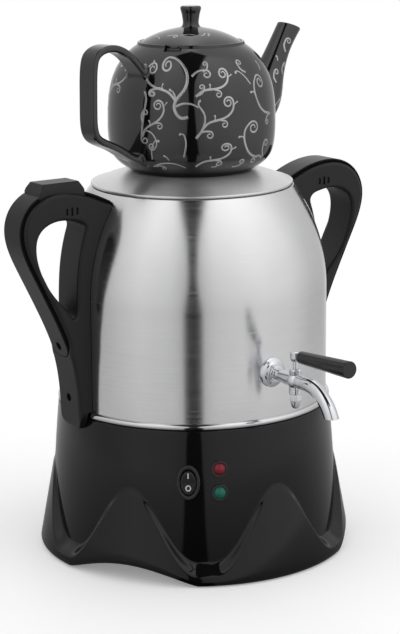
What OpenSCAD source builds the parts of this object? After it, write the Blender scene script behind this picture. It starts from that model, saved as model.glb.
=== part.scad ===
// Electric samovar: a steel water urn on a heated moulded base, with a plug tap,
// two loop handles and a glazed teapot that stands on the lid.
// The origin is on the urn's axis at the level of the table and +Z is up.
// The tap points along -Y, and the handles lie along +X and -X.

/* [Urn] */
// Outside radius of the straight part of the urn
urn_r = 101.4; // [99:0.1:104]
// Thickness of the urn's steel sheet
urn_wall = 1; // [0.8:0.1:1.4]
// Height of the straight part above the trim ring
straight_h = 84.6; // [75:0.1:100]
// Height of the domed shoulder
dome_h = 77.5; // [70:0.1:85]
// Outside radius of the lip where the lid sits
neck_r = 76.3; // [74:0.1:78]
// Width of the lip between the urn's neck and its outer edge
lip_w = 4.3; // [3.5:0.1:5]
// Gap between the urn's shell and the water tank
jacket_gap = 8.9; // [8:0.1:10]
// Height of the tank's own shoulder
tank_dome_h = 60; // [50:1:62]

/* [Trim ring] */
// Height of the polished ring
ring_h = 4.8; // [4:0.1:6]
// How far the ring stands out from the urn
ring_bulge = 2.6; // [2:0.1:3]
// Thickness of the flange that carries the urn
ring_flange_t = 1.6; // [1.2:0.1:2]

/* [Base] */
// Height of the base housing
base_h = 113.8; // [108:0.1:120]
// How far the housing's top stands out from the urn
base_step = 2.4; // [2.1:0.1:3.6]
// How far the plain surface between the lobes flares out down to the table
base_spread = 6.4; // [5.2:0.1:8]
// Power of the curve by which the plain surface flares
base_flare = 1.7; // [1.3:0.1:2.2]
// How far the lobed skirt would stand out from the plain surface at the table
skirt_spread = 10.3; // [8:0.1:12]
// How much the skirt's radius shrinks for each millimetre of height
skirt_draft = 0.183; // [0.17:0.001:0.19]
// Height of the tops of the lobes
lobe_z = 66.6; // [60:0.1:72]
// Height of the ledge between two lobes
valley_z = 16; // [15.5:0.1:20]
// Angle from the middle of a lobe to the flat of the ledge
lobe_half = 27; // [24:0.5:29]
// Height over which the rounded ledge blends
ledge_h = 7.5; // [6:0.1:8]
// Gap under the housing's edge where it comes nearest to the table
foot_gap = 1.2; // [1:0.1:2]
// Rise of the three arches in the bottom edge
arch_h = 12; // [8:0.1:13]
// Angle from the middle of an arch to its end
arch_half = 25; // [20:0.5:27]
// Thickness of the housing's wall
base_wall = 2.6; // [2.2:0.1:3]
// Radius of the rounded bottom edge
edge_r = 3.5; // [3:0.1:3.5]
// Thickness of the deck that carries the ring
deck_t = 3; // [2.5:0.1:4]
// Width of the deck between its opening and the housing's top edge
deck_w = 23.8; // [22:0.1:25]
// Height of the bottom plate's underside
plate_z = 13.4; // [13.2:0.1:16]
// Thickness of the bottom plate
plate_t = 2.6; // [2:0.1:3.5]
// How far the bottom plate's edge lies inside the plain surface's foot
plate_inset = 2.9; // [2.7:0.1:5]
// Distance of the foot pads' middles from the bottom plate's edge
pad_inset = 7.3; // [6:0.1:12]
// Radius of a foot pad
pad_r = 7.5; // [6:0.1:8.5]
// Height of a foot pad
pad_h = 3; // [2.5:0.1:4]

/* [Heating] */
// Distance of the heater plate's edge from the circle of the tie rods
heater_inset = 7; // [5:0.5:10]
// Thickness of the heater plate
heater_t = 4; // [3:0.1:5]
// Distance of the tubular element's ring from the heater plate's edge
element_inset = 18; // [14:0.5:22]
// Radius of the element's tube
element_tube_r = 4; // [3:0.1:4.5]
// Distance of the tie rods from the edge of the deck's opening
rod_inset = 5; // [4:0.5:6]
// Radius of a tie rod
rod_r = 2.5; // [2:0.1:3]
// Height of the ring that lifts the tank above the deck
support_h = 7.2; // [6.5:0.1:9]

/* [Controls] */
// Angle of the switch round the base, from the tap
switch_turn = -36.6; // [-42:0.1:-34]
// Distance of the switch's middle below the housing's top
switch_drop = 37.4; // [34:0.1:39]
// Width of the switch's bezel
bezel_w = 17.3; // [16.5:0.1:19]
// Height of the switch's bezel
bezel_h = 25.8; // [25:0.1:28]
// How far the bezel stands out
bezel_t = 2; // [1.5:0.1:2.5]
// Width of the rocker
rocker_w = 11.2; // [10.5:0.1:11.4]
// Height of the rocker
rocker_h = 18.2; // [17:0.1:18.4]
// Tilt of the rocker to each side
rocker_tilt = 8; // [6:1:9]
// Radius of the rocker's pivot pins
pivot_r = 1.1; // [0.9:0.05:1.3]
// Angle of the lamps round the base, from the tap
lamp_turn = -24.4; // [-25:0.1:-20]
// Distances of the red and the green lamp below the housing's top
lamp_drop = [28, 45.5];
// Radius of a lamp's lens
lens_r = 4.7; // [4:0.1:5]
// Radius of a lamp's rim
lamp_rim_r = 5.7; // [5.2:0.1:6]
// Distance of the power inlet's middle below the housing's top
inlet_drop = 25.8; // [22:0.1:30]
// Width of the power inlet's flange
inlet_w = 30; // [29:0.5:33]
// Height of the power inlet's flange
inlet_h = 22.5; // [22:0.5:26]

/* [Handles] */
// Thickness of a handle across its side faces
handle_w = 30; // [28:0.5:34]
// Bevel along the handles' edges
handle_bevel = 1.6; // [1:0.1:2]
// Width of the cover strip along the spine
cover_w = 26.4; // [24:0.1:26.8]
// Thickness of the cover strip
cover_t = 2.4; // [2:0.1:3]
// Width of the groove round the cover strip
groove = 0.7; // [0.4:0.1:0.9]
// Height above the ring's foot at which the cover strip ends
cover_end = 48; // [47:0.5:50]
// Heights of the handle screws above the ring's foot
screw_rise = [15, 55];
// Radius of a screw's head
screw_head_r = 2.8; // [2.4:0.1:3]
// Radius of a screw's shank
screw_r = 1.6; // [1.4:0.1:1.8]

/* [Thumb button] */
// Distance of the button's middle from the urn's wall
button_reach = 18; // [16:0.5:19]
// Length of the button at its foot
button_l = 37; // [34:0.5:38]
// Length of the button at its top
button_top_l = 25; // [22:0.5:28]
// Width of the button
button_w = 23; // [20:0.1:23.5]
// Height of the button's top above the urn's lip
button_rise = 14.4; // [13.5:0.1:15.5]
// Travel of the button
button_travel = 3; // [2:0.1:3.2]

/* [Lid] */
// Radius of the flat seat for the teapot
lid_seat_r = 48.5; // [47.5:0.1:52]
// Height of that seat above the urn's lip
lid_rise = 11.1; // [9:0.1:13]
// Thickness of the lid's sheet
lid_t = 1; // [0.8:0.1:1.3]
// Radius of the rolled rim
lid_rim_r = 1.1; // [0.9:0.05:1.3]
// Gap between the rolled rim and the lip
lid_gap = 0.6; // [0.4:0.1:0.9]
// Depth of the skirt below the lip
lid_skirt = 11; // [8:0.5:14]
// Distance of the steam holes from the axis
steam_place_r = 24; // [20:0.5:28]
// Radius of a steam hole
steam_r = 4; // [3:0.1:5]

/* [Tap] */
// Height of the tap above the base
tap_rise = 38.4; // [36:0.1:44]
// Distance of the valve's axis from the urn's wall
valve_reach = 27.9; // [26:0.1:32]
// Radius of the valve body
valve_r = 6.5; // [6.2:0.1:7]
// Radius of the plug that turns in the valve
plug_r = 3.75; // [3.4:0.05:4]
// Radial running clearance of the plug
plug_gap = 0.05; // [0.02:0.01:0.08]
// Radius of the water way
way_r = 2.6; // [2:0.1:2.8]
// Radius of the threaded shank
shank_r = 5; // [4.5:0.1:5.5]
// Radius of the escutcheon
escutcheon_r = 11.5; // [10:0.1:14]
// Radius of the stem
stem_r = 1.75; // [1.5:0.05:2]
// Height of the lever hub's top above the tap's axis
hub_top = 21.4; // [20:0.1:24]
// Height of the lever hub
hub_h = 7; // [6.5:0.1:8]
// Radius of the lever hub
hub_r = 4.2; // [4:0.1:4.8]
// Length of the grip
grip_l = 57; // [45:0.5:65]
// Radius of the grip near the hub
grip_r0 = 4.5; // [4.2:0.1:5]
// Radius of the grip at its end
grip_r1 = 6.1; // [5:0.1:7]
// Upward tilt of the lever
lever_tilt = 2.5; // [0:0.5:6]
// Outside radius of the spout's tube
spout_r = 5.2; // [5:0.1:5.6]
// Wall of the spout's tube
spout_wall = 1.4; // [1:0.1:1.6]
// Bend radius of the spout
spout_bend_r = 32; // [26:0.5:40]
// Drop of the spout's mouth below the tap's axis
spout_drop = 18.4; // [16:0.1:22]

/* [Teapot] */
// Height of the pot from its foot to its rim
pot_h = 95.4; // [90:0.1:100]
// Largest radius of the pot
pot_r = 61.9; // [60:0.1:64]
// Radius of the pot's foot
pot_foot_r = 45.5; // [43:0.1:47]
// Outside radius of the pot's rim
pot_rim_r = 39.5; // [39:0.1:42]
// Wall of the pot
pot_wall = 3.6; // [3:0.1:4.5]
// Turn of the teapot on the lid
pot_turn = 10.8; // [-20:0.1:20]
// Radius of the lid's rim
cover_r = 37; // [36.5:0.1:37.4]
// Rise of the lid's dome
cover_rise = 10.6; // [8:0.1:13]
// Thickness of the lid
cover_wall = 3; // [2.5:0.1:4]
// Height of the lid's knob
knob_h = 15.6; // [12:0.1:19]
// Radius of the knob at its top
knob_r = 7.7; // [7:0.1:9]
// Width of the teapot's handle
strap_w = 13; // [11:0.1:15]
// Thickness of the teapot's handle
strap_t = 5; // [4.5:0.1:6]
// Wall of the teapot's spout
pour_wall = 3; // [2.5:0.1:3.6]

/* [Hidden] */

$fn = 96;
eps = 0.01;
// Gap between fixed pieces that lie against each other on curved faces
seat_gap = 0.25;
// Gap round pieces that slide
slide_gap = 0.4;
black = [0.08, 0.08, 0.09];
steel = [0.78, 0.78, 0.8];
chrome_grey = [0.85, 0.86, 0.88];

base_top_r = urn_r + base_step;
base_foot_r = base_top_r + base_spread;
skirt_foot_r = base_foot_r + skirt_spread;
deck_bore = base_top_r - deck_w;
plate_r = base_foot_r - plate_inset;
pad_place_r = plate_r - pad_inset;
rod_place_r = deck_bore - rod_inset;
heater_r = rod_place_r - heater_inset;
element_ring_r = heater_r - element_inset;
switch_z = base_h - switch_drop;
lamp_z = [for (d = lamp_drop) base_h - d];
inlet_z = base_h - inlet_drop;

urn_z0 = base_h + ring_flange_t;
shoulder_z = base_h + ring_flange_t + straight_h;
lip_z = shoulder_z + dome_h;
neck_in_r = neck_r - lip_w;
tank_r = urn_r - urn_wall - jacket_gap;
tank_floor_z = base_h + support_h;
deck_z = base_h - deck_t;
lid_seat_z = lip_z + lid_rise;
tap_z = base_h + tap_rise;
valve_y = urn_r + valve_reach;

// Radius of an arc that leaves the upright and comes in by "drop" over the height "rise"
function shoulder_radius(drop, rise) = (rise * rise + drop * drop) / (2 * drop);
function lerp(a, b, t) = a + (b - a) * t;
function clamp01(t) = max(0, min(1, t));
function soft_step(t) = t * t * (3 - 2 * t);
function rot2(v, a) = [v[0] * cos(a) - v[1] * sin(a), v[0] * sin(a) + v[1] * cos(a)];
function unit(v) = v / norm(v);

// Smooth curve through points: it passes through each of them
function through(a, b, c, d, t) =
    (2 * b + (c - a) * t + (2 * a - 5 * b + 4 * c - d) * t * t
    + (3 * b - a - 3 * c + d) * t * t * t) / 2;
function open_curve(p, n) =
    let (last = len(p) - 1)
    [for (i = [0:last - 1]) for (k = [0:n - 1])
        through(p[max(i - 1, 0)], p[i], p[i + 1], p[min(i + 2, last)], k / n), p[last]];
function loop_curve(p, n) =
    let (m = len(p))
    [for (i = [0:m - 1]) for (k = [0:n - 1])
        through(p[(i + m - 1) % m], p[i], p[(i + 1) % m], p[(i + 2) % m], k / n)];

// Normal to the left of a row of points at point i
function side_normal(p, i, closed) =
    let (m = len(p),
        before = closed ? p[(i + m - 1) % m] : p[max(i - 1, 0)],
        after = closed ? p[(i + 1) % m] : p[min(i + 1, m - 1)])
    unit([before[1] - after[1], after[0] - before[0]]);
function shifted(p, d, closed) =
    [for (i = [0:len(p) - 1]) p[i] + d * side_normal(p, i, closed)];

// Closed skin over rings of points, each ring having the same number of points
function skin_faces(rings, count) = concat(
    [for (i = [0:rings - 2]) for (j = [0:count - 1]) each
        let (a = i * count + j, b = i * count + (j + 1) % count, c = a + count, d = b + count)
        [[a, d, c], [a, b, d]]],
    [[for (j = [count - 1:-1:0]) j]],
    [[for (j = [0:count - 1]) (rings - 1) * count + j]]);

// Prism of an anticlockwise outline standing in the XZ plane, whose edges slope by "bevel".
// A negative bevel flares the edges, as a cutter for a bevelled opening needs.
module bevelled_prism(outline, half, bevel, over) {
    slope = bevel > 0 ? 1 : -1;
    narrow = shifted(outline, bevel + slope * over, true);
    flank = half - abs(bevel);
    count = len(outline);
    levels = [[narrow, -half - over], [outline, -flank], [outline, flank], [narrow, half + over]];
    polyhedron(
        [for (l = levels) for (q = l[0]) [q[0], l[1], q[1]]],
        skin_faces(len(levels), count));
}
// The same as a plate with flat side faces
module bevelled_slab(outline, width, bevel) {
    intersection() {
        bevelled_prism(outline, width / 2, bevel, 0.4);
        cube([8 * urn_r, width, 8 * urn_r], center = true);
    }
}

// Half section of the urn or the tank, from the axis out to a curved shoulder
// and on past the neck by "over"
module vessel_section(r, neck, bottom, shoulder, rise, grow, over) {
    rho = shoulder_radius(r - neck, rise);
    translate([0, bottom]) square([r + grow, shoulder - bottom]);
    intersection() {
        translate([r - rho, shoulder]) circle(rho + grow, $fn = 180);
        translate([0, shoulder]) square([r + grow, rise + over]);
    }
}
module urn_section(grow, bottom) {
    vessel_section(urn_r, neck_r, bottom, shoulder_z, dome_h, grow, 0);
}

// Everything that a handle must lie against, grown by the seat gap
tongue_l = 10;
module handle_clearance() {
    rotate([0, 0, 90]) rotate_extrude($fn = 360) {
        urn_section(seat_gap, urn_z0);
        square([plain_r(base_h - tongue_l) + 2 * seat_gap, base_h + ring_h + seat_gap]);
    }
}

// ---------------------------------------------------------------- base housing

lobe_count = 6;
columns_per_lobe = 16;
column_count = lobe_count * columns_per_lobe;
lobe_pitch = 360 / lobe_count;
arch_angles = [60, 180, 300];

function away(a, b) = let (d = abs((a - b + 540) % 360 - 180)) d;
function lobe_away(a) = let (t = (a + 360) % lobe_pitch) min(t, lobe_pitch - t);
function wave_z(a) =
    valley_z + (lobe_z - valley_z) * (1 + cos(180 * min(lobe_away(a) / lobe_half, 1))) / 2;
function edge_z(a) =
    foot_gap + arch_h * max([for (c = arch_angles) max(0, 1 - pow(away(a, c) / arch_half, 2))]);
function plain_r(z) = base_foot_r - (base_foot_r - base_top_r) * pow(z / base_h, base_flare);
function skirt_r(z) = skirt_foot_r - skirt_draft * z;
function housing_r(a, z) =
    plain_r(z) + max(0, skirt_r(z) - plain_r(z)) * soft_step(clamp01((wave_z(a) - z) / ledge_h));

// Upright half section of the housing at the angle a from the tap, as a closed row of points
function housing_column(a) =
    let (low = edge_z(a) + edge_r,
        wave = wave_z(a),
        knee = wave - ledge_h,
        out = housing_r(a, low))
    concat(
        [for (t = [-90:30:0]) [out - edge_r + edge_r * cos(t), low + edge_r * sin(t)]],
        [for (t = [1, 2, 3]) let (z = lerp(low, knee, t / 3)) [housing_r(a, z), z]],
        [for (t = [1:5]) let (z = lerp(knee, wave, t / 5)) [housing_r(a, z), z]],
        [for (t = [1:5]) let (z = lerp(wave, base_h, t / 5)) [housing_r(a, z), z]],
        [[deck_bore, base_h], [deck_bore, deck_z], [plain_r(deck_z) - base_wall, deck_z]],
        [for (t = [0:3]) let (z = lerp(wave, knee, t / 3)) [housing_r(a, z) - base_wall, z]],
        [[out - base_wall, low], [out - edge_r, low - edge_r + base_wall]]);

module housing_skin() {
    columns = [for (j = [0:column_count - 1]) housing_column(j * 360 / column_count)];
    m = len(columns[0]);
    polyhedron(
        [for (j = [0:column_count - 1]) for (q = columns[j])
            let (b = j * 360 / column_count - 90) [q[0] * cos(b), q[0] * sin(b), q[1]]],
        [for (j = [0:column_count - 1]) for (i = [0:m - 1]) each
            let (k = (j + 1) % column_count, n = (i + 1) % m,
                p = j * m + i, q = j * m + n, r = k * m + i, s = k * m + n)
            [[p, s, r], [p, q, s]]]);
}

// Places its children on the housing's plain surface, with +X pointing out of it
module on_housing(turn, z) {
    slope = (plain_r(z - 1) - plain_r(z + 1)) / 2;
    rotate([0, 0, turn - 90]) translate([plain_r(z), 0, z]) rotate([0, -atan(slope), 0])
        children();
}
module around(angles, r) {
    for (a = angles) rotate([0, 0, a - 90]) translate([r, 0, 0]) children();
}

// Upright oval plate in the YZ plane, made of an ellipse of "sides" points
module oval(w, h, x0, x1) {
    sides = 40;
    translate([x0, 0, 0]) rotate([90, 0, 90]) linear_extrude(x1 - x0)
        polygon([for (i = [0:sides - 1]) [w / 2 * cos(360 * i / sides), h / 2 * sin(360 * i / sides)]]);
}
// Rounded block, its long side along X from x0 to x1
module inlet_block(w, h, r, x0, x1) {
    translate([x0, 0, 0]) rotate([90, 0, 90]) linear_extrude(x1 - x0) union() {
        square([w - 2 * r, h], center = true);
        square([w, h - 2 * r], center = true);
        for (sx = [-1, 1]) for (sy = [-1, 1])
            translate([sx * (w / 2 - r), sy * (h / 2 - r)]) circle(r, $fn = 32);
    }
}

bezel_rim = 2.6;
housing_hole_w = bezel_w - 2 * 1.4;
housing_hole_h = bezel_h - 2 * 1.4;
lamp_neck_r = 3.9;
inlet_rim = 1.6;

module base_shell() color(black) difference() {
    housing_skin();
    on_housing(switch_turn, switch_z)
        oval(housing_hole_w, housing_hole_h, -base_wall - 4, 3);
    for (z = lamp_z) on_housing(lamp_turn, z) rotate([0, 90, 0])
        cylinder(r = lamp_neck_r + seat_gap, h = 20, center = true);
    on_housing(180, inlet_z)
        inlet_block(inlet_w - 2 * inlet_rim, inlet_h - 2 * inlet_rim, 2, -base_wall - 4, 3);
}

pad_stem_r = 0.4 * pad_r;
pad_stem_h = 2 * pad_h;
boss_r = 1.2 * pad_r;
foot_angles = [0, 120, 240];
rod_angles = [60, 180, 300];
vent_angles = [for (i = [0:11]) i * 30 + 15];

// Places its children at the three outer feet and at the one that carries the plate's middle
module at_feet() {
    around(foot_angles, pad_place_r) children();
    children();
}

module bottom_plate() color(black) difference() {
    union() {
        translate([0, 0, plate_z]) cylinder(r = plate_r, h = plate_t);
        at_feet() translate([0, 0, pad_h]) cylinder(r = boss_r, h = plate_z);
    }
    at_feet() cylinder(r = pad_stem_r + seat_gap, h = pad_h + pad_stem_h + 2);
    at_feet() translate([0, 0, plate_z + plate_t]) cylinder(r = 2 * boss_r, h = plate_z);
    around(rod_angles, rod_place_r) cylinder(r = rod_r + seat_gap, h = 3 * plate_z);
    around(vent_angles, 50) translate([0, 0, plate_z + plate_t / 2])
        cube([30, 4, 2 * plate_t], center = true);
}

module foot_pads() color([0.16, 0.16, 0.16]) at_feet() {
    cylinder(r = pad_r, h = pad_h);
    cylinder(r = pad_stem_r, h = pad_h + pad_stem_h);
}

// ---------------------------------------------------------------- urn and tank

module trim_ring() color(chrome_grey) rotate_extrude() difference() {
    union() {
        translate([urn_r + ring_bulge - ring_h / 2, base_h + ring_h / 2]) circle(ring_h / 2, $fn = 48);
        translate([deck_bore + 12, base_h]) square([urn_r - deck_bore - 12, ring_flange_t]);
    }
    translate([0, urn_z0]) square([urn_r + seat_gap, ring_h]);
}

// Radial holes for the tap and the handle screws
module wall_holes() {
    rotate([90, 0, 0]) translate([0, tap_z, 0])
        cylinder(r = shank_r + seat_gap, h = 2 * urn_r);
    for (side = [-1, 1]) for (h = screw_rise) translate([0, 0, base_h + h]) rotate([0, side * 90, 0])
        cylinder(r = screw_r + seat_gap, h = 2 * urn_r);
}

module urn_shell() color(steel) difference() {
    rotate_extrude() difference() {
        urn_section(0, urn_z0);
        difference() {
            translate([0, -eps]) urn_section(-urn_wall, urn_z0);
            translate([0, lip_z - urn_wall]) square([urn_r, dome_h]);
        }
        square([neck_in_r + seat_gap, 2 * lip_z]);
    }
    wall_holes();
}

tank_wall = 1;
tank_shoulder_z = lip_z - urn_wall - tank_dome_h - 14;

module water_tank() color(steel) difference() {
    rotate_extrude() difference() {
        union() {
            vessel_section(tank_r, neck_in_r, tank_floor_z, tank_shoulder_z, tank_dome_h, 0, 4);
            square([neck_in_r, lip_z]);
        }
        square([tank_r, tank_floor_z]);
        vessel_section(tank_r - tank_wall, neck_in_r - tank_wall, tank_floor_z + tank_wall,
            tank_shoulder_z, tank_dome_h, 0, 4);
        translate([0, tank_shoulder_z]) square([neck_in_r - tank_wall, lip_z]);
    }
    rotate([90, 0, 0]) translate([0, tap_z, 0]) cylinder(r = shank_r + seat_gap, h = 2 * urn_r);
}

module tank_support() color([0.3, 0.3, 0.32]) rotate_extrude() {
    translate([tank_r - 6, base_h]) square([2, support_h]);
    translate([deck_bore + 1, base_h]) square([tank_r - deck_bore - 6, 1.5]);
}

heater_z = tank_floor_z - heater_t;
module heater_plate() color([0.8, 0.8, 0.82]) translate([0, 0, heater_z])
    cylinder(r = heater_r, h = heater_t);

element_z = heater_z - element_tube_r - 0.05;
element_sweep = 330;
module heating_element() color([0.35, 0.33, 0.32]) {
    translate([0, 0, element_z]) rotate([0, 0, -element_sweep / 2]) rotate_extrude(angle = element_sweep)
        translate([element_ring_r, 0]) circle(element_tube_r, $fn = 32);
    for (a = [-1, 1]) rotate([0, 0, a * (element_sweep / 2 - 4)])
        translate([element_ring_r, 0, element_z - 5 * element_tube_r])
            cylinder(r = 0.4 * element_tube_r, h = 4.5 * element_tube_r, $fn = 24);
}

module disc_switch(r, h, place) {
    translate([place, 0, heater_z - h]) difference() {
        union() {
            cylinder(r = r, h = h);
            for (y = [-1, 1]) translate([-1.6, y * r * 0.5 - 0.4, -6]) cube([3.2, 0.8, 7]);
        }
        translate([0, 0, h - 1]) difference() {
            cylinder(r = r + 1, h = 0.5);
            cylinder(r = r - 1, h = 0.5);
        }
    }
}
module thermostat() color([0.9, 0.88, 0.8]) disc_switch(8, 9, 0);
module dry_boil_cutout() color([0.7, 0.7, 0.72]) disc_switch(6.5, 8, 26);

module tie_rods() color(steel) around(rod_angles, rod_place_r)
    translate([0, 0, plate_z - 7]) cylinder(r = rod_r, h = tank_floor_z - plate_z + 7 - eps, $fn = 32);
module rod_nuts() color(steel) around(rod_angles, rod_place_r)
    translate([0, 0, plate_z - 4]) difference() {
        cylinder(r = rod_r * 2, h = 4, $fn = 6);
        translate([0, 0, -1]) cylinder(r = rod_r + 0.05, h = 6, $fn = 32);
    }

module terminal_block() color([0.85, 0.84, 0.8]) translate([-16, 38, plate_z + plate_t]) difference() {
    cube([32, 16, 13]);
    for (x = [6, 16, 26]) translate([x, 8, 6]) rotate([90, 0, 0])
        cylinder(r = 2, h = 40, center = true, $fn = 24);
}

// ---------------------------------------------------------------- controls

inlet_depth = 20;
module power_inlet() color(black) difference() {
    on_housing(180, inlet_z) difference() {
        union() {
            inlet_block(inlet_w, inlet_h, 3, -2, 1.6);
            inlet_block(inlet_w - 2 * inlet_rim - 2 * seat_gap, inlet_h - 2 * inlet_rim - 2 * seat_gap,
                1.8, -inlet_depth, 1);
        }
        inlet_block(inlet_w - 2 * inlet_rim - 3.4, inlet_h - 2 * inlet_rim - 3.4, 2, -inlet_depth + 3, 3);
        pin_bars(seat_gap);
    }
    // The flange's back lies against the housing
    difference() {
        translate([0, 0, inlet_z]) cylinder(r = plain_r(inlet_z - inlet_h / 2) + 0.1,
            h = 2 * inlet_h, center = true);
        on_housing(180, inlet_z)
            inlet_block(inlet_w - 2 * inlet_rim - 2 * seat_gap, inlet_h - 2 * inlet_rim - 2 * seat_gap,
                1.8, -2 * inlet_depth, 5);
    }
}
pin_places = [[-7, -1.5], [0, 2.5], [7, -1.5]];
module pin_bars(grow) {
    for (p = pin_places)
        translate([-inlet_depth - 8, p[0] - 1 - grow, p[1] - 2 - grow])
            cube([inlet_depth + 4, 2 + 2 * grow, 4 + 2 * grow]);
}
module inlet_pins() color(steel) on_housing(180, inlet_z) pin_bars(0);

pocket_w = rocker_w + 2 * slide_gap;
pocket_h = rocker_h + 4 * slide_gap;
switch_depth = 15;
rocker_depth = 7;
module switch_housing() color(black) on_housing(switch_turn, switch_z) difference() {
    union() {
        difference() {
            oval(bezel_w, bezel_h, -1.2, bezel_t);
            translate([-plain_r(switch_z) * cos(4) - 0.1, 0, 0])
                cylinder(r = plain_r(switch_z), h = 2 * bezel_h, center = true);
        }
        oval(housing_hole_w - 2 * seat_gap, housing_hole_h - 2 * seat_gap, -switch_depth, 1);
        for (z = [-6, 0, 6]) translate([-switch_depth - 4, -2, z - 0.4]) cube([9, 4, 0.8]);
    }
    oval(pocket_w, pocket_h, -rocker_depth, bezel_t + 1);
    rotate([90, 0, 0]) cylinder(r = pivot_r + 0.05, h = pocket_w + 1.4, center = true);
}

module switch_rocker() color(black) on_housing(switch_turn, switch_z) rotate([0, rocker_tilt, 0]) {
    intersection() {
        oval(rocker_w, rocker_h, -5, 6);
        rotate([90, 0, 0]) cylinder(r = rocker_h / 2, h = bezel_w, center = true);
        rotate([90, 0, 0]) linear_extrude(bezel_w, center = true)
            polygon([[-4.4, -5], [2.9, -10], [2.1, 0], [2.9, 10], [-4.4, 5]]);
    }
    rotate([90, 0, 0]) cylinder(r = pivot_r, h = pocket_w + 1.2, center = true);
}

module lamp(tint, z) color(tint) on_housing(lamp_turn, z) {
    rotate([0, 90, 0]) translate([0, 0, -16]) cylinder(r = lamp_neck_r, h = 17);
    rotate([0, 90, 0]) rotate_extrude() {
        translate([0, 0.2]) square([lamp_rim_r - 0.6, 1]);
        translate([0, 0.2]) square([lamp_rim_r, 0.5]);
        intersection() {
            translate([0, -1.2]) circle(lens_r + 0.3, $fn = 64);
            translate([0, 0.5]) square([lens_r, lens_r]);
        }
    }
}
module red_lamp() lamp([0.75, 0.08, 0.1], lamp_z[0]);
module green_lamp() lamp([0.05, 0.5, 0.38], lamp_z[1]);
module lamp_nuts() color(black) for (z = lamp_z) on_housing(lamp_turn, z) rotate([0, 90, 0])
    translate([0, 0, -base_wall - 3.9]) difference() {
        cylinder(r = lamp_neck_r + 3, h = 2.6, $fn = 6);
        translate([0, 0, -1]) cylinder(r = lamp_neck_r + 0.05, h = 5);
    }

// ---------------------------------------------------------------- handles
// Outlines stand in the XZ plane: X is the distance from the urn's wall. The upper points
// are counted from the urn's lip and the lower ones from the foot of the trim ring.

spine_top = [[-22, -3.6], [-2, 4.9], [13, 8.2], [26, 8.2], [40, 3.4], [50, -6.5], [54, -20],
             [51.5, -35], [44.5, -51], [32, -76], [20.5, -101]];
spine_foot = [[14.2, 44], [11.2, 28], [9.8, 12], [9, -1], [6.5, -7.5], [1.5, -9.5]];
hole_path = [[19, -13.8], [5, -17.5], [1, -27], [6.5, -44], [9, -62], [9.8, -78], [12, -86.5],
             [18, -79], [28, -68], [38, -51], [42.6, -33], [40.6, -21.5], [32, -15.6]];

function up_from_lip(p) = [for (q = p) [urn_r + q[0], lip_z + q[1]]];
function up_from_ring(p) = [for (q = p) [urn_r + q[0], base_h + q[1]]];

curve_steps = 5;
spine_curve = open_curve(concat(up_from_lip(spine_top), up_from_ring(spine_foot)), curve_steps);
hole_curve = loop_curve(up_from_lip(hole_path), 4);
inner_x = neck_r - 8;
handle_outline = concat([for (i = [len(spine_curve) - 1:-1:0]) spine_curve[i]],
    [[inner_x, lip_z - 14], [inner_x + 14, lip_z - 60], [inner_x + 22, base_h - 9]]);
cover_points = [for (q = spine_curve) if (q[1] > base_h + cover_end - 4) q];

// Band along the spine, "depth" thick, with rounded ends in the view from outside
module spine_band(depth, proud, width, end_z) {
    outer = shifted(cover_points, proud, false);
    inner = shifted(cover_points, -depth, false);
    intersection() {
        rotate([90, 0, 0]) linear_extrude(width, center = true)
            polygon(concat(outer, [for (i = [len(inner) - 1:-1:0]) inner[i]]));
        rotate([90, 0, 90]) linear_extrude(2 * urn_r) {
            translate([0, end_z + width / 2]) circle(width / 2);
            translate([-width / 2, end_z + width / 2]) square([width, 2 * lip_z]);
        }
    }
}

slot_places = [12.3, 8.2, 4.1];
module side_slots() {
    for (x = slot_places) for (side = [-1, 1])
        translate([urn_r + x, side * handle_w / 2, lip_z - 8]) cube([1.6, 1.6, 5], center = true);
}

button_pocket_z = lip_z - 4;
screw_seat = [4.5, 12];

module screw_ways(extra) {
    for (i = [0, 1]) translate([0, 0, base_h + screw_rise[i]]) rotate([0, 90, 0]) {
        translate([0, 0, urn_r + screw_seat[i]]) cylinder(r = screw_head_r + extra, h = 30, $fn = 32);
        cylinder(r = screw_r + extra, h = 2 * urn_r, $fn = 32);
    }
}

// The handle on the +X side. The other one is its mirror image.
module handle_frame(with_button) {
    difference() {
        bevelled_slab(handle_outline, handle_w, handle_bevel);
        bevelled_prism(hole_curve, handle_w / 2, -handle_bevel, 0.4);
        handle_clearance();
        spine_band(cover_t + seat_gap, 3, cover_w + 2 * groove, base_h + cover_end - groove);
        screw_ways(seat_gap);
        side_slots();
        if (with_button) translate([urn_r + button_reach, 0, button_pocket_z])
            translate([-button_l / 2 - 1.6, -button_w / 2 - 1.6, -4])
                cube([button_l + 3.2, button_w + 3.2, 30]);
    }
}
module cover_strip(with_button) {
    difference() {
        spine_band(cover_t, 0, cover_w, base_h + cover_end);
        handle_clearance();
        screw_ways(seat_gap);
        if (with_button) translate([urn_r + button_reach, 0, lip_z])
            cube([button_l + 2 * slide_gap, button_w + 2 * slide_gap, 60], center = true);
    }
}
module left_handle() color(black) mirror([1, 0, 0]) handle_frame(true);
module right_handle() color(black) handle_frame(false);
module left_cover() color(black) mirror([1, 0, 0]) cover_strip(true);
module right_cover() color(black) cover_strip(false);

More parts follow.
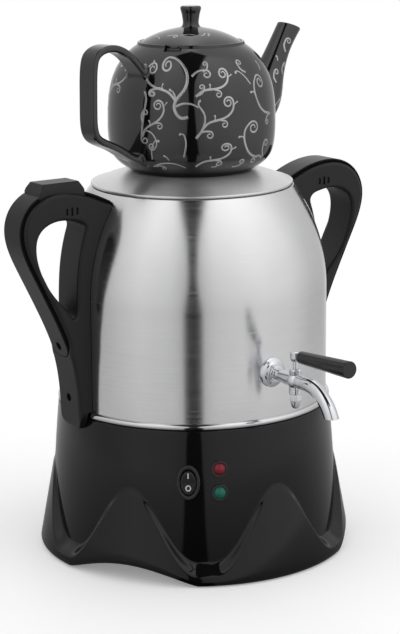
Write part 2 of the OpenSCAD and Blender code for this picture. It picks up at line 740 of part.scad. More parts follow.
module handle_screws() color(steel) for (side = [0, 1]) mirror([side, 0, 0])
    for (i = [0, 1]) translate([urn_r + screw_seat[i], 0, base_h + screw_rise[i]])
        rotate([0, 90, 0]) difference() {
            union() {
                cylinder(r = screw_head_r, h = 1.8, $fn = 32);
                translate([0, 0, -screw_seat[i] - 5]) cylinder(r = screw_r, h = screw_seat[i] + 5, $fn = 32);
            }
            for (a = [0, 90]) rotate([0, 0, a]) translate([0, 0, 1.8])
                cube([0.7, 3.6, 1.6], center = true);
        }
nut_h = 1.5 * screw_r;
module handle_nuts() color(steel) for (side = [0, 1]) mirror([side, 0, 0])
    for (h = screw_rise) translate([urn_r - urn_wall - nut_h - 0.6, 0, base_h + h]) rotate([0, 90, 0])
        difference() {
            cylinder(r = 2 * screw_r, h = nut_h, $fn = 6);
            translate([0, 0, -1]) cylinder(r = screw_r + 0.05, h = 5, $fn = 32);
        }

button_top_z = lip_z + button_rise;
button_foot_z = lip_z + 0.2;
module thumb_button() color(black) translate([-urn_r - button_reach, 0, 0]) {
    intersection() {
        rotate([90, 0, 0]) linear_extrude(button_w, center = true) polygon([
            [-button_l / 2, button_foot_z], [button_l / 2, button_foot_z],
            [button_l / 2, button_top_z - 6.5], [button_top_l / 2, button_top_z],
            [-button_top_l / 2, button_top_z], [-button_l / 2, button_top_z - 6.5]]);
        rotate([90, 0, 90]) linear_extrude(button_l, center = true) polygon([
            [-button_w / 2, button_foot_z], [button_w / 2, button_foot_z],
            [button_w / 2, button_top_z - 4.5], [button_w / 2 - 2.5, button_top_z],
            [2.5 - button_w / 2, button_top_z], [-button_w / 2, button_top_z - 4.5]]);
    }
    translate([-button_l / 2 - 1.2, -button_w / 2, button_foot_z]) cube([button_l + 2.4, button_w, 1.4]);
}

spring_turns = 4;
spring_wire_r = 0.5;
spring_r = 3.5;
spring_low = button_pocket_z - 4 + spring_wire_r + 0.05;
spring_high = button_foot_z - spring_wire_r - 0.05;
module button_spring() color(steel) {
    sides = 6;
    steps = 12;
    total = spring_turns * steps;
    translate([-urn_r - button_reach, 0, 0]) polyhedron(
        [for (i = [0:total]) let (a = 360 * i / steps, z = lerp(spring_low, spring_high, i / total))
            for (k = [0:sides - 1]) let (b = 360 * k / sides, r = spring_r + spring_wire_r * cos(b))
                [r * cos(a), r * sin(a), z + spring_wire_r * sin(b)]],
        skin_faces(total + 1, sides));
}

// ---------------------------------------------------------------- tap

// Places its children on the tap's axis, with +Z pointing away from the urn
module along_tap(from) {
    translate([0, -from, tap_z]) rotate([90, 0, 0]) children();
}
module on_valve(z) {
    translate([0, -valve_y, tap_z + z]) children();
}

hub_flange_u = urn_r + 4.6;
module tap_escutcheon() color(chrome_grey) difference() {
    along_tap(urn_r - 1) difference() {
        rotate_extrude() polygon([[0, 0], [escutcheon_r, 0], [escutcheon_r, 1.7],
            [escutcheon_r - 0.7, 2.4], [escutcheon_r - 2.6, 3.3], [shank_r + 2.6, 4.1],
            [shank_r + 1.8, 4.6], [shank_r + 1.8, hub_flange_u - urn_r + 1],
            [0, hub_flange_u - urn_r + 1]]);
        translate([0, 0, -1]) cylinder(r = shank_r + 0.1, h = 20);
    }
    cylinder(r = urn_r + 0.1, h = 2 * tap_z, $fn = 360);
}

shank_in = tank_r - tank_wall - 9;
plug_low = -6.5;
neck_top = 4.4;
way_end = valve_y + valve_r + 2;
module tap_body() color(chrome_grey) difference() {
    union() {
        along_tap(shank_in) cylinder(r = shank_r, h = hub_flange_u - shank_in);
        along_tap(hub_flange_u) cylinder(r = shank_r + 1, h = 1.6);
        along_tap(hub_flange_u) cylinder(r1 = shank_r - 0.9, r2 = shank_r + 0.6, h = valve_y - hub_flange_u - 3);
        on_valve(0) sphere(r = valve_r);
        on_valve(plug_low) cylinder(r = plug_r + 1, h = neck_top - plug_low);
        along_tap(valve_y) cylinder(r = spout_r, h = way_end - valve_y);
    }
    along_tap(shank_in - 1) cylinder(r = way_r, h = way_end - shank_in + 2);
    on_valve(neck_top) cylinder(r = valve_r, h = valve_r);
    on_valve(plug_low - 1) cylinder(r = plug_r + plug_gap, h = neck_top - plug_low + 2);
}

spout_angle = 72;
mouth_z = -spout_drop;
spout_straight = 4;
module spout_section() difference() {
    circle(spout_r, $fn = 48);
    circle(spout_r - spout_wall, $fn = 48);
}
module tap_spout() color(chrome_grey) difference() {
    union() {
        along_tap(way_end + 0.02) linear_extrude(spout_straight - 0.02) spout_section();
        translate([0, -way_end - spout_straight, tap_z - spout_bend_r])
            rotate([0, 0, 180]) rotate([0, -90, 0]) rotate_extrude(angle = spout_angle)
                translate([spout_bend_r, 0]) spout_section();
    }
    translate([0, -way_end - spout_bend_r - spout_straight, tap_z + mouth_z - 20])
        cube([40, 60, 40], center = true);
}

module tap_gland_nut() color(chrome_grey) on_valve(neck_top + 0.05) difference() {
    union() {
        cylinder(r1 = plug_r + 0.7, r2 = plug_r + 1.2, h = 3.4, $fn = 48);
        translate([0, 0, 3.4]) cylinder(r = plug_r + 0.5, h = 0.8, $fn = 48);
    }
    translate([0, 0, -1]) cylinder(r = stem_r + 0.1, h = 8, $fn = 48);
}

cap_h = 14;
tail_r = 1.6;
module tap_bottom_cap() color(chrome_grey) on_valve(plug_low) mirror([0, 0, 1]) difference() {
    union() {
        translate([0, 0, 0.05]) cylinder(r = plug_r + 1.2, h = 3.4);
        translate([0, 0, 3]) cylinder(r = plug_r + 1.1, h = 5.4, $fn = 6);
        translate([0, 0, 8]) cylinder(r1 = plug_r + 0.1, r2 = plug_r - 0.5, h = cap_h - 10);
        translate([0, 0, cap_h - 2 - 1]) sphere(r = plug_r - 0.6);
    }
    translate([0, 0, -1]) cylinder(r = tail_r + 0.1, h = 9);
}

module tap_spacer() color(steel) along_tap(tank_r + 0.2) difference() {
    cylinder(r = shank_r + 2.5, h = jacket_gap - 0.6);
    translate([0, 0, -1]) cylinder(r = shank_r + 0.05, h = jacket_gap + 2);
}
washer_u = tank_r - tank_wall - 2;
module tap_washer() color([0.8, 0.3, 0.2]) along_tap(washer_u) difference() {
    cylinder(r = shank_r + 3.5, h = 1.5);
    translate([0, 0, -1]) cylinder(r = shank_r + 0.05, h = 4);
}
module tap_back_nut() color(steel) along_tap(washer_u - 3.2) difference() {
    cylinder(r = shank_r + 3, h = 3.2, $fn = 6);
    translate([0, 0, -1]) cylinder(r = shank_r + 0.05, h = 6);
}

hub_low = hub_top - hub_h;
module tap_plug() color([0.8, 0.72, 0.45]) on_valve(0) difference() {
    union() {
        translate([0, 0, plug_low]) cylinder(r = plug_r, h = neck_top - plug_low);
        translate([0, 0, plug_low - 7]) cylinder(r = tail_r, h = 8);
        translate([0, 0, neck_top - 1]) cylinder(r = stem_r, h = hub_low - neck_top + 3);
    }
    rotate([0, 90, 0]) cylinder(r = way_r, h = 4 * plug_r, center = true);
}

// Places its children on the lever's axis, with +Z pointing outwards
module along_lever() {
    on_valve(hub_low + hub_h / 2) rotate([90 - lever_tilt, 0, 0]) children();
}
spigot_l = 24;
module lever_hub() color(chrome_grey) {
    difference() {
        on_valve(hub_low) union() {
            cylinder(r1 = hub_r - 0.9, r2 = hub_r, h = 2);
            translate([0, 0, 2]) cylinder(r = hub_r, h = hub_h - 2.6);
            translate([0, 0, hub_h - 0.6]) cylinder(r1 = hub_r, r2 = hub_r - 0.6, h = 0.6);
        }
        on_valve(hub_low - 1) cylinder(r = stem_r, h = 3);
    }
    along_lever() translate([0, 0, hub_r - 0.8]) cylinder(r = 2, h = spigot_l);
}
module lever_grip() color(black) along_lever() difference() {
    union() {
        translate([0, 0, hub_r + 0.1]) cylinder(r1 = grip_r0 - 1.2, r2 = grip_r0, h = 2.4);
        translate([0, 0, hub_r + 2.5]) cylinder(r1 = grip_r0, r2 = grip_r1, h = grip_l - 4);
        translate([0, 0, hub_r + grip_l - 1.5]) rotate_extrude() {
            square([grip_r1 - 1.6, 1.6]);
            intersection() {
                translate([grip_r1 - 1.6, 0]) circle(1.6, $fn = 32);
                square([grip_r1, 1.6]);
            }
        }
    }
    translate([0, 0, hub_r - 1]) cylinder(r = 2.05, h = spigot_l + 1.2);
}

// ---------------------------------------------------------------- urn lid

rim_place_r = neck_r - 1.4;
rim_z = lip_z + lid_gap + lid_rim_r;
lid_low_z = rim_z + lid_rim_r - 0.3;
// Centre height and radius of the sphere through the rolled rim and the edge of the seat
lid_centre_z = (rim_place_r * rim_place_r + lid_low_z * lid_low_z - lid_seat_r * lid_seat_r
    - lid_seat_z * lid_seat_z) / (2 * (lid_low_z - lid_seat_z));
lid_rho = norm([rim_place_r, lid_low_z - lid_centre_z]);
skirt_out_r = neck_in_r - tank_wall - slide_gap;
steam_holes = 6;

module urn_lid() color(steel) difference() {
    rotate_extrude() {
        difference() {
            intersection() {
                translate([0, lid_centre_z]) circle(lid_rho, $fn = 360);
                translate([0, lid_low_z - lid_t]) square([rim_place_r, lid_seat_z - lid_low_z + lid_t]);
            }
            intersection() {
                translate([0, lid_centre_z]) circle(lid_rho - lid_t, $fn = 360);
                square([rim_place_r, lid_seat_z - lid_t]);
            }
        }
        translate([rim_place_r, rim_z]) circle(lid_rim_r, $fn = 48);
        translate([skirt_out_r - lid_t, lip_z - lid_skirt]) square([lid_t, lid_skirt + lid_gap + 2 * lid_rim_r + 0.4]);
    }
    for (i = [0:steam_holes - 1]) rotate([0, 0, i * 360 / steam_holes])
        translate([steam_place_r, 0, lid_seat_z]) cylinder(r = steam_r, h = 10, center = true);
}
module lid_seal() color([0.85, 0.85, 0.82]) rotate_extrude()
    translate([skirt_out_r + 0.05, lip_z]) square([1.9, 1.5]);

// ---------------------------------------------------------------- teapot
// Its own frame: the origin is under the foot on the pot's axis and the spout points along +X.

module teapot_place() {
    translate([0, 0, lid_seat_z]) rotate([0, 0, pot_turn]) children();
}

pot_shape = [[0, 0.047], [0.3, 0.074], [0.58, 0.125], [0.86, 0.21], [0.985, 0.33], [1, 0.43],
             [0.96, 0.565], [0.84, 0.69], [0.6, 0.81], [0.26, 0.915], [0, 0.975]];
// Left of the widest point the first number runs from the foot, right of it from the rim
function pot_outline(wall) =
    let (p = [for (q = pot_shape)
        [lerp(q[1] < 0.43 ? pot_foot_r : pot_rim_r, pot_r, q[0]) - wall, pot_h * q[1]]])
    open_curve(p, 3);

gallery_r = cover_r + slide_gap;
ledge_r = cover_r - 4.5;
gallery_z = pot_h - 2.4;
floor_z = 8;
module pot_cavity() {
    rotate([0, 0, 90]) rotate_extrude() {
        inside = pot_outline(pot_wall);
        polygon(concat([[0, floor_z], [pot_foot_r - pot_wall, floor_z]],
            [for (q = inside) if (q[1] > floor_z + 1 && q[1] < gallery_z - 5) q],
            [[ledge_r, gallery_z - 4.5], [ledge_r, gallery_z + 1], [0, gallery_z + 1]]));
    }
}
pour_root = [[40, 22], [55, 33], [66, 43.5], [77.5, 56], [87, 70], [98.5, 87.5], [105, 98.5]];
pour_r = [15, 16.5, 14.6, 12.4, 10.6, 9, 8.4];
pour_lean = [40, 43, 47, 52, 55, 59, 72];
mouth_stretch = [1, 1, 1, 1, 1, 1.08, 1.32];
module pour_loft(inset) {
    sides = 28;
    polyhedron(
        [for (i = [0:len(pour_root) - 1]) for (k = [0:sides - 1])
            let (b = 360 * k / sides, r = pour_r[i] - inset, c = pour_root[i],
                along = (i == len(pour_root) - 1 && inset > 0) ? 0.5 : 0,
                s = r * mouth_stretch[i] * cos(b))
            [c[0] + s * sin(pour_lean[i]) + along * cos(pour_lean[i]), -r * sin(b),
             c[1] - s * cos(pour_lean[i]) + along * sin(pour_lean[i])]],
        skin_faces(len(pour_root), sides));
}
module pot_solid() {
    rotate([0, 0, 90]) rotate_extrude() {
        outside = pot_outline(0);
        polygon(concat([[0, 2.2], [pot_foot_r - 5, 2.2], [pot_foot_r - 4, 0], [pot_foot_r - 1, 0]],
            outside, [[pot_rim_r, pot_h], [0, pot_h]]));
    }
}
notch_turn = -151;
strainer_places = [[0, 0], [-5.6, 0], [5.6, 0], [-2.8, 5], [2.8, 5], [-2.8, -5], [2.8, -5]];
module teapot_pot() color(black) teapot_place() difference() {
    pot_solid();
    pot_cavity();
    translate([0, 0, gallery_z]) cylinder(r = gallery_r, h = 10);
    rotate([0, 0, notch_turn]) translate([cover_r - 2, -4.5, gallery_z]) cube([10, 9, 10]);
    for (p = strainer_places) translate([40, p[0], 34 + p[1]]) rotate([0, 90, 0])
        cylinder(r = 2.2, h = 40, $fn = 24);
}
module teapot_spout() color(black) teapot_place() difference() {
    pour_loft(0);
    pour_loft(pour_wall);
    pot_solid();
}

strap_path = [[40, 76], [52, 83.2], [59.8, 87.9], [67.6, 93.3], [77, 97.2], [86.5, 98.4], [95, 97],
              [101.4, 92.6], [104.3, 85], [105.4, 70], [105.7, 52], [104.8, 38.5], [101.5, 32],
              [93.5, 27], [83, 22.6], [72.3, 16.6], [65.5, 10.5], [56, 7], [46, 7]];
strap_bevel = 1.4;
function strap_ring(path, i) =
    let (n = side_normal(path, i, false), half = strap_w / 2, b = strap_bevel, t = strap_t)
    [for (s = [[0, b - half], [0, half - b], [b, half], [t - b, half],
               [t, half - b], [t, b - half], [t - b, -half], [b, -half]])
        [path[i][0] - s[0] * n[0], s[1], path[i][1] - s[0] * n[1]]];
module teapot_handle() color(black) teapot_place() {
    path = open_curve(strap_path, 2);
    rotate([0, 0, 180]) difference() {
        polyhedron(
            [for (i = [0:len(path) - 1]) each strap_ring(path, i)],
            skin_faces(len(path), 8));
        pot_solid();
    }
}

cover_z = gallery_z + 0.02;
cover_rho = shoulder_radius(cover_rise, cover_r);
module teapot_lid() color(black) teapot_place() translate([0, 0, cover_z]) {
    difference() {
        union() {
            rotate_extrude() {
                square([cover_r, 2]);
                intersection() {
                    translate([0, 2 + cover_rise - cover_rho]) circle(cover_rho, $fn = 180);
                    translate([0, 1]) square([cover_r, cover_rise + 1]);
                }
                translate([0, -6]) square([ledge_r - slide_gap, 7]);
            }
            rotate([0, 0, notch_turn]) translate([cover_r - 4, -3.6, 0]) cube([5.4, 7.2, 1.8]);
        }
        rotate_extrude() {
            translate([0, -7]) square([ledge_r - slide_gap - cover_wall, 9]);
            intersection() {
                translate([0, 2 + cover_rise - cover_rho]) circle(cover_rho - cover_wall, $fn = 180);
                translate([0, 1]) square([ledge_r - slide_gap - cover_wall, cover_rise + 1]);
            }
        }
        translate([12, 0, 0]) cylinder(r = 1, h = 40, $fn = 24);
    }
    knob_z = cover_rise + 1.7;
    rotate_extrude() polygon(concat([[0, knob_z - 2], [knob_r - 1.5, knob_z - 2]],
        [for (q = open_curve([[knob_r - 1.5, knob_z], [knob_r - 1.9, knob_z + 3],
            [knob_r - 1, knob_z + knob_h * 0.6], [knob_r, knob_z + knob_h * 0.9],
            [knob_r - 0.5, knob_z + knob_h - 0.3], [knob_r - 2.5, knob_z + knob_h]], 3)) q],
        [[0, knob_z + knob_h]]));
}

base_shell();
bottom_plate();
foot_pads();
trim_ring();
urn_shell();
water_tank();
tank_support();
heater_plate();
heating_element();
thermostat();
dry_boil_cutout();
tie_rods();
rod_nuts();
terminal_block();
power_inlet();
inlet_pins();
switch_housing();
switch_rocker();
red_lamp();
green_lamp();
lamp_nuts();
left_handle();
right_handle();
left_cover();
right_cover();
handle_screws();
handle_nuts();
thumb_button();
button_spring();
tap_escutcheon();
tap_body();
tap_spout();
tap_gland_nut();
tap_bottom_cap();
tap_spacer();
tap_washer();
tap_back_nut();
tap_plug();
lever_hub();
lever_grip();
urn_lid();
lid_seal();
teapot_pot();
teapot_spout();
teapot_handle();
teapot_lid();
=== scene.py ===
"""Scene of an electric samovar: its meshes, finishes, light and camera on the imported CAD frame.

Sizes in the classes are millimetres. The tap points along -Y, the handles lie along X and the
origin is on the urn's axis at the level of the table.
"""

import logging
import math
from dataclasses import dataclass
from enum import Enum
from functools import cached_property
from typing import Any, Callable, Iterable, Optional, Sequence, Union

import bmesh
import bpy
import numpy as np
from mathutils import Matrix, Vector
from mathutils.geometry import tessellate_polygon


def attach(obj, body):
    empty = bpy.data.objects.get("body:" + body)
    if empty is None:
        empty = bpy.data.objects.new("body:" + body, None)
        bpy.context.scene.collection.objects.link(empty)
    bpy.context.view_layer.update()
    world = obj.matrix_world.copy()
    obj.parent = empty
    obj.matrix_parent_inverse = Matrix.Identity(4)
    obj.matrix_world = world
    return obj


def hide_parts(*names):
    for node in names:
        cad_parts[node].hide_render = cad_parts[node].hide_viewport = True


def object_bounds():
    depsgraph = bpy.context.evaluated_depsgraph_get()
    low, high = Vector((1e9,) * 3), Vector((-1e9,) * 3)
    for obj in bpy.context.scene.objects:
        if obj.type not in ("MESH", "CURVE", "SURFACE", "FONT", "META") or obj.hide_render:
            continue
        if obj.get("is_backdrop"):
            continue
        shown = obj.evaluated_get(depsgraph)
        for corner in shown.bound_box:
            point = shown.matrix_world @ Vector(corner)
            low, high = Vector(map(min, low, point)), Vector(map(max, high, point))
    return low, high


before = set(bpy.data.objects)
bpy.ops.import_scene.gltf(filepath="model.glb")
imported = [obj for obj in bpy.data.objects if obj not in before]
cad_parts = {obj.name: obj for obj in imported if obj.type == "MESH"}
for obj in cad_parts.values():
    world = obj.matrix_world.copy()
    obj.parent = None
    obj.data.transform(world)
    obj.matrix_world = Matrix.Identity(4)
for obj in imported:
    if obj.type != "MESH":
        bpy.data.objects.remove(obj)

MM = 0.001
log = logging.getLogger("samovar")
Pair = tuple[float, float]
Pairs = tuple[Pair, ...]
Row = list[Pair]
Points = Sequence[Sequence[float]]
Face = tuple[int, ...]
Thing = bpy.types.Object
Tree = bpy.types.NodeTree
Source = Union[bpy.types.NodeSocket, bpy.types.Node]


class Body(str, Enum):
    """Bodies of the part that a piece can ride on."""

    SAMOVAR = "samovar"
    ROCKER = "rocker"
    BUTTON = "button"
    TAP_LEVER = "tap_lever"
    LID = "lid"
    TEAPOT = "teapot"
    TEAPOT_COVER = "teapot_cover"


# ---------------- shapes


# Power of the points' distance that a curve's parameter grows by, which keeps it from swinging out
SPACING = 0.75
# Share of the shorter side that a corner's round may take, and the least turn that is a corner
LONGEST_ROUND = 0.49
STRAIGHT = 0.02


def spun(degrees: float, axis: str = "Z") -> Matrix:
    """Turn by an angle in degrees about one of the frame's axes."""
    return Matrix.Rotation(math.radians(degrees), 4, axis)


def slid(x: float, y: float, z: float) -> Matrix:
    """Shift by a distance in millimetres."""
    return Matrix.Translation((x, y, z))


def lerp(a: float, b: float, t: float) -> float:
    """Value a share t of the way from a to b."""
    return a + (b - a) * t


@dataclass
class Shell:
    """Points in millimetres and the faces between them."""

    points: np.ndarray
    faces: list[Face]

    def placed(self, matrix: Matrix) -> "Shell":
        """The shell with its own frame moved to a place in millimetres."""
        m = np.array(matrix)
        return Shell(self.points @ m[:3, :3].T + m[:3, 3], self.faces)

    def joined(self, *others: "Shell") -> "Shell":
        """Puts other shells beside this one.

        Args:
            others: the shells to add.

        Returns:
            One shell that holds them all.
        """
        points, faces = [self.points], list(self.faces)
        for other in others:
            start = sum(len(p) for p in points)
            points.append(other.points)
            faces += [tuple(i + start for i in f) for f in other.faces]
        return Shell(np.concatenate(points), faces)


def spline(points: Points, count: int, closed: bool = False) -> np.ndarray:
    """Cubic curve with an even curvature through points.

    Args:
        points: the points that the curve passes through.
        count: how many points the result has.
        closed: whether the curve runs back to its first point.

    Returns:
        The points of the curve, one row each.
    """
    p = np.array(points, float)
    if closed:  # a few points repeat at either end, so that the curve closes without a kink
        p = np.vstack([p[-3:], p, p[:4]])
    gaps = np.maximum(np.linalg.norm(np.diff(p, axis=0), axis=1), 1e-6) ** SPACING
    t = np.concatenate([[0], np.cumsum(gaps)])
    n = len(p)
    system, right = np.eye(n), np.zeros_like(p)
    for i in range(1, n - 1):
        h0, h1 = gaps[i - 1], gaps[i]
        system[i, i - 1 : i + 2] = h0 / 6, (h0 + h1) / 3, h1 / 6
        right[i] = (p[i + 1] - p[i]) / h1 - (p[i] - p[i - 1]) / h0
    bend = np.linalg.solve(system, right)
    lo, hi = (t[3], t[n - 4]) if closed else (0.0, t[-1])
    at = np.linspace(lo, hi, count + 1)[:-1] if closed else np.linspace(lo, hi, count)
    k = np.clip(np.searchsorted(t, at, side="right") - 1, 0, n - 2)
    h = gaps[k][:, None]
    a, b = (t[k + 1] - at)[:, None] / h, (at - t[k])[:, None] / h
    curve = (a**3 - a) * bend[k] + (b**3 - b) * bend[k + 1]
    return a * p[k] + b * p[k + 1] + curve * h * h / 6


def rounded(corners: Points, closed: bool = False, steps: int = 5) -> Row:
    """Row of straight lines whose corners are arcs.

    Args:
        corners: x, y and, for a rounded corner, its radius.
        closed: whether the row runs back to its first corner.
        steps: how many lines make an arc.

    Returns:
        The points of the row.
    """
    row: Row = []
    for i, corner in enumerate(corners):
        at = np.array(corner[:2], float)
        half = math.pi / 2
        if len(corner) > 2 and (closed or 0 < i < len(corners) - 1):
            back = np.array(corners[i - 1][:2], float) - at
            ahead = np.array(corners[(i + 1) % len(corners)][:2], float) - at
            longest = LONGEST_ROUND * min(np.linalg.norm(back), np.linalg.norm(ahead))
            back, ahead = back / np.linalg.norm(back), ahead / np.linalg.norm(ahead)
            half = math.acos(max(-1.0, min(1.0, float(back @ ahead)))) / 2
        if math.pi / 2 - half < STRAIGHT:
            row.append((float(at[0]), float(at[1])))
            continue
        run = min(corner[2] / math.tan(half), longest)
        radius = run * math.tan(half)
        centre = at + (back + ahead) / np.linalg.norm(back + ahead) * radius / math.sin(half)
        start, end = at + back * run - centre, at + ahead * run - centre
        sweep = math.pi - 2 * half
        for k in range(steps + 1):
            near, far = math.sin((1 - k / steps) * sweep), math.sin(k / steps * sweep)
            arm = (near * start + far * end) / math.sin(sweep)
            row.append((float(centre[0] + arm[0]), float(centre[1] + arm[1])))
    return row


def arc(x: float, z: float, radius: float, angles: Iterable[float]) -> Row:
    """Points of a circle round x, z at angles in degrees."""
    return [
        (x + radius * math.cos(math.radians(a)), z + radius * math.sin(math.radians(a)))
        for a in angles
    ]


def sideways(row: np.ndarray, closed: bool = False) -> np.ndarray:
    """Directions to the left of a row, at each of its points.

    Args:
        row: points in a plane.
        closed: whether the row is a loop.

    Returns:
        The directions, each of length 1.
    """
    if closed:
        along = np.roll(row, -1, axis=0) - np.roll(row, 1, axis=0)
    else:
        along = np.gradient(row, axis=0)
    along /= np.linalg.norm(along, axis=1)[:, None]
    return np.stack([-along[:, 1], along[:, 0]], axis=1)


def anticlockwise(row: np.ndarray) -> np.ndarray:
    """The same loop, turned round if it runs clockwise."""
    x, y = row[:, 0], row[:, 1]
    return row if np.sum(x * np.roll(y, -1) - y * np.roll(x, -1)) > 0 else row[::-1]


def oval_row(width: float, height: float, count: int = 64) -> np.ndarray:
    """Points of an ellipse with the given full width and height."""
    a = np.linspace(0, 2 * math.pi, count, endpoint=False)
    return np.stack([width / 2 * np.cos(a), height / 2 * np.sin(a)], axis=1)


def between_rings(a: int, b: int, count: int) -> list[Face]:
    """Faces between two rings of points, given by the number of their first point."""
    return [(a + j, a + (j + 1) % count, b + (j + 1) % count, b + j) for j in range(count)]


def loft(rings: Sequence[np.ndarray], wrap: bool = False) -> Shell:
    """Skin over closed rings.

    Args:
        rings: the rings in order, all with the same number of points.
        wrap: whether the last ring joins the first one, instead of each getting a cap.

    Returns:
        The skin.
    """
    count, rows = len(rings[0]), len(rings)
    faces: list[Face] = []
    for i in range(rows if wrap else rows - 1):
        faces += between_rings(i * count, (i + 1) % rows * count, count)
    if not wrap:
        faces.append(tuple(range(count - 1, -1, -1)))
        faces.append(tuple((rows - 1) * count + j for j in range(count)))
    return Shell(np.concatenate([np.asarray(r, float) for r in rings]), faces)


def turned(row: Points, sides: int) -> Shell:
    """Turned body about Z.

    Args:
        row: radius and height along its section, which closes unless both its ends are on the axis.
        sides: how many flats go round.

    Returns:
        The body.
    """
    flat = np.array(row, float)
    count = len(flat)
    open_row = flat[0, 0] < 1e-6 and flat[-1, 0] < 1e-6
    a = np.linspace(0, 2 * math.pi, sides, endpoint=False)
    across, aside = np.outer(np.cos(a), flat[:, 0]), np.outer(np.sin(a), flat[:, 0])
    points = np.stack([across, aside, np.tile(flat[:, 1], (sides, 1))], axis=2).reshape(-1, 3)
    faces: list[Face] = []
    for i in range(sides):
        b, c = i * count, (i + 1) % sides * count
        for j in range(count - 1 if open_row else count):
            k = (j + 1) % count
            faces.append((b + j, c + j, c + k, b + k))
    return Shell(points, faces)


def prism(row: Points, low: float, high: float) -> Shell:
    """Straight prism of a closed row that lies in XY, from one height to another."""
    flat = np.array(row, float)
    return loft([np.column_stack([flat, np.full(len(flat), z)]) for z in (low, high)])


def rod(width: float, low: float, high: float, sides: int = 64) -> Shell:
    """Upright round rod of a full width, from one height to another."""
    return prism(oval_row(width, width, sides), low, high)


def oval_loft(rings: Points) -> Shell:
    """Skin over upright ovals, given as full width, full height and distance along +X."""
    made = []
    for width, height, x in rings:
        row = oval_row(width, height)
        made.append(np.column_stack([np.full(len(row), x), row]))
    return loft(made)


def block(x: float, y: float, z: float, edge: float = 0.0) -> Shell:
    """Block about the origin with its upright edges rounded.

    Args:
        x: length along X.
        y: length along Y.
        z: length along Z.
        edge: radius of the upright edges.

    Returns:
        The block.
    """
    corners = [(-x / 2, -y / 2), (x / 2, -y / 2), (x / 2, y / 2), (-x / 2, y / 2)]
    row = rounded([(*c, edge) for c in corners], True) if edge else corners
    return prism(row, -z / 2, z / 2)


def slab(outer: np.ndarray, hole: np.ndarray, width: float, edge: float) -> Shell:
    """Plate with a hole, standing in XZ, whose edges are rounded.

    Args:
        outer: anticlockwise outline.
        hole: anticlockwise outline of the hole.
        width: thickness along Y.
        edge: radius of the rounded edges.

    Returns:
        The plate.
    """
    steps = 5
    levels: Row = []
    for k in range(-steps, steps + 1):
        a = math.pi / 2 * k / steps
        y = math.copysign(width / 2 - edge, a) + edge * math.sin(a)
        levels.append((edge * (1 - math.cos(a)), y))
    levels.insert(steps, (0.0, -(width / 2 - edge)))
    loops = (outer, sideways(outer, True)), (hole, -sideways(hole, True))
    sides = [[row + inset * way for inset, _ in levels] for row, way in loops]
    points: list[np.ndarray] = []
    faces: list[Face] = []
    starts: list[int] = []
    for rings in sides:
        start, count = sum(len(p) for p in points), len(rings[0])
        starts.append(start)
        for (_, y), ring in zip(levels, rings):
            points.append(np.column_stack([ring[:, 0], np.full(count, y), ring[:, 1]]))
        for i in range(len(levels) - 1):
            faces += between_rings(start + i * count, start + (i + 1) * count, count)
    for level in (0, len(levels) - 1):
        outlines = [[Vector((x, z, 0)) for x, z in rings[level]] for rings in sides]
        index = [
            start + level * len(rings[0]) + j
            for start, rings in zip(starts, sides) for j in range(len(rings[0]))
        ]
        faces += [tuple(index[i] for i in corner) for corner in tessellate_polygon(outlines)]
    return Shell(np.concatenate(points), faces)


def as_object(name: str, shell: Shell) -> Thing:
    """Makes a Blender object of a shell.

    Args:
        name: the object's name.
        shell: its points and faces.

    Returns:
        The object, linked to the scene.
    """
    mesh = bpy.data.meshes.new(name)
    mesh.from_pydata((shell.points * MM).tolist(), [], shell.faces)
    work = bmesh.new()
    work.from_mesh(mesh)
    bmesh.ops.remove_doubles(work, verts=work.verts, dist=1e-7)
    bmesh.ops.dissolve_degenerate(work, edges=work.edges, dist=1e-8)
    bmesh.ops.recalc_face_normals(work, faces=work.faces)
    work.to_mesh(mesh)
    work.free()
    made = bpy.data.objects.new(name, mesh)
    bpy.context.scene.collection.objects.link(made)
    return made


def settle(thing: Thing) -> None:
    """Applies an object's modifiers to its mesh."""
    bpy.context.view_layer.update()
    ready = thing.evaluated_get(bpy.context.evaluated_depsgraph_get())
    mesh = bpy.data.meshes.new_from_object(ready)
    thing.modifiers.clear()
    thing.data = mesh


def carve(thing: Thing, *cutters: Shell, keep: bool = False) -> Thing:
    """Cuts shells out of an object.

    Args:
        thing: the object.
        cutters: the shells, each of them closed.
        keep: whether what lies inside the shells stays, instead of what lies outside.

    Returns:
        The same object.
    """
    tools = [as_object("cutter", c) for c in cutters]
    for tool in tools:
        step = thing.modifiers.new("cut", "BOOLEAN")
        step.operation = "INTERSECT" if keep else "DIFFERENCE"
        step.solver = "EXACT"
        step.object = tool
    settle(thing)
    for tool in tools:
        bpy.data.objects.remove(tool)
    return thing


def soften(thing: Thing, width: float, steps: int = 3, angle: float = 32.0) -> Thing:
    """Rounds an object's sharp edges.

    Args:
        thing: the object.
        width: how far the round reaches.
        steps: how many faces make it.
        angle: the smallest angle in degrees that counts as sharp.

    Returns:
        The same object.
    """
    step = thing.modifiers.new("soft edge", "BEVEL")
    step.width = width * MM
    step.segments = steps
    step.limit_method = "ANGLE"
    step.angle_limit = math.radians(angle)
    step.use_clamp_overlap = True
    settle(thing)
    return thing


def merge(thing: Thing, *others: Thing) -> None:
    """Adds other objects' meshes to one object.

    Args:
        thing: the object that stays.
        others: the objects that go into it.
    """
    work = bmesh.new()
    work.from_mesh(thing.data)
    for other in others:
        work.from_mesh(other.data)
        bpy.data.objects.remove(other)
    work.to_mesh(thing.data)
    work.free()


# ---------------- finishes


def linear(code: str) -> tuple[float, float, float, float]:
    """Turns an sRGB hex colour into Blender's linear one.

    Args:
        code: the colour as "#rrggbb".

    Returns:
        Red, green, blue and an alpha of 1.
    """
    parts = [int(code[i : i + 2], 16) / 255 for i in (1, 3, 5)]
    red, green, blue = (p / 12.92 if p <= 0.04045 else ((p + 0.055) / 1.055) ** 2.4 for p in parts)
    return red, green, blue, 1.0


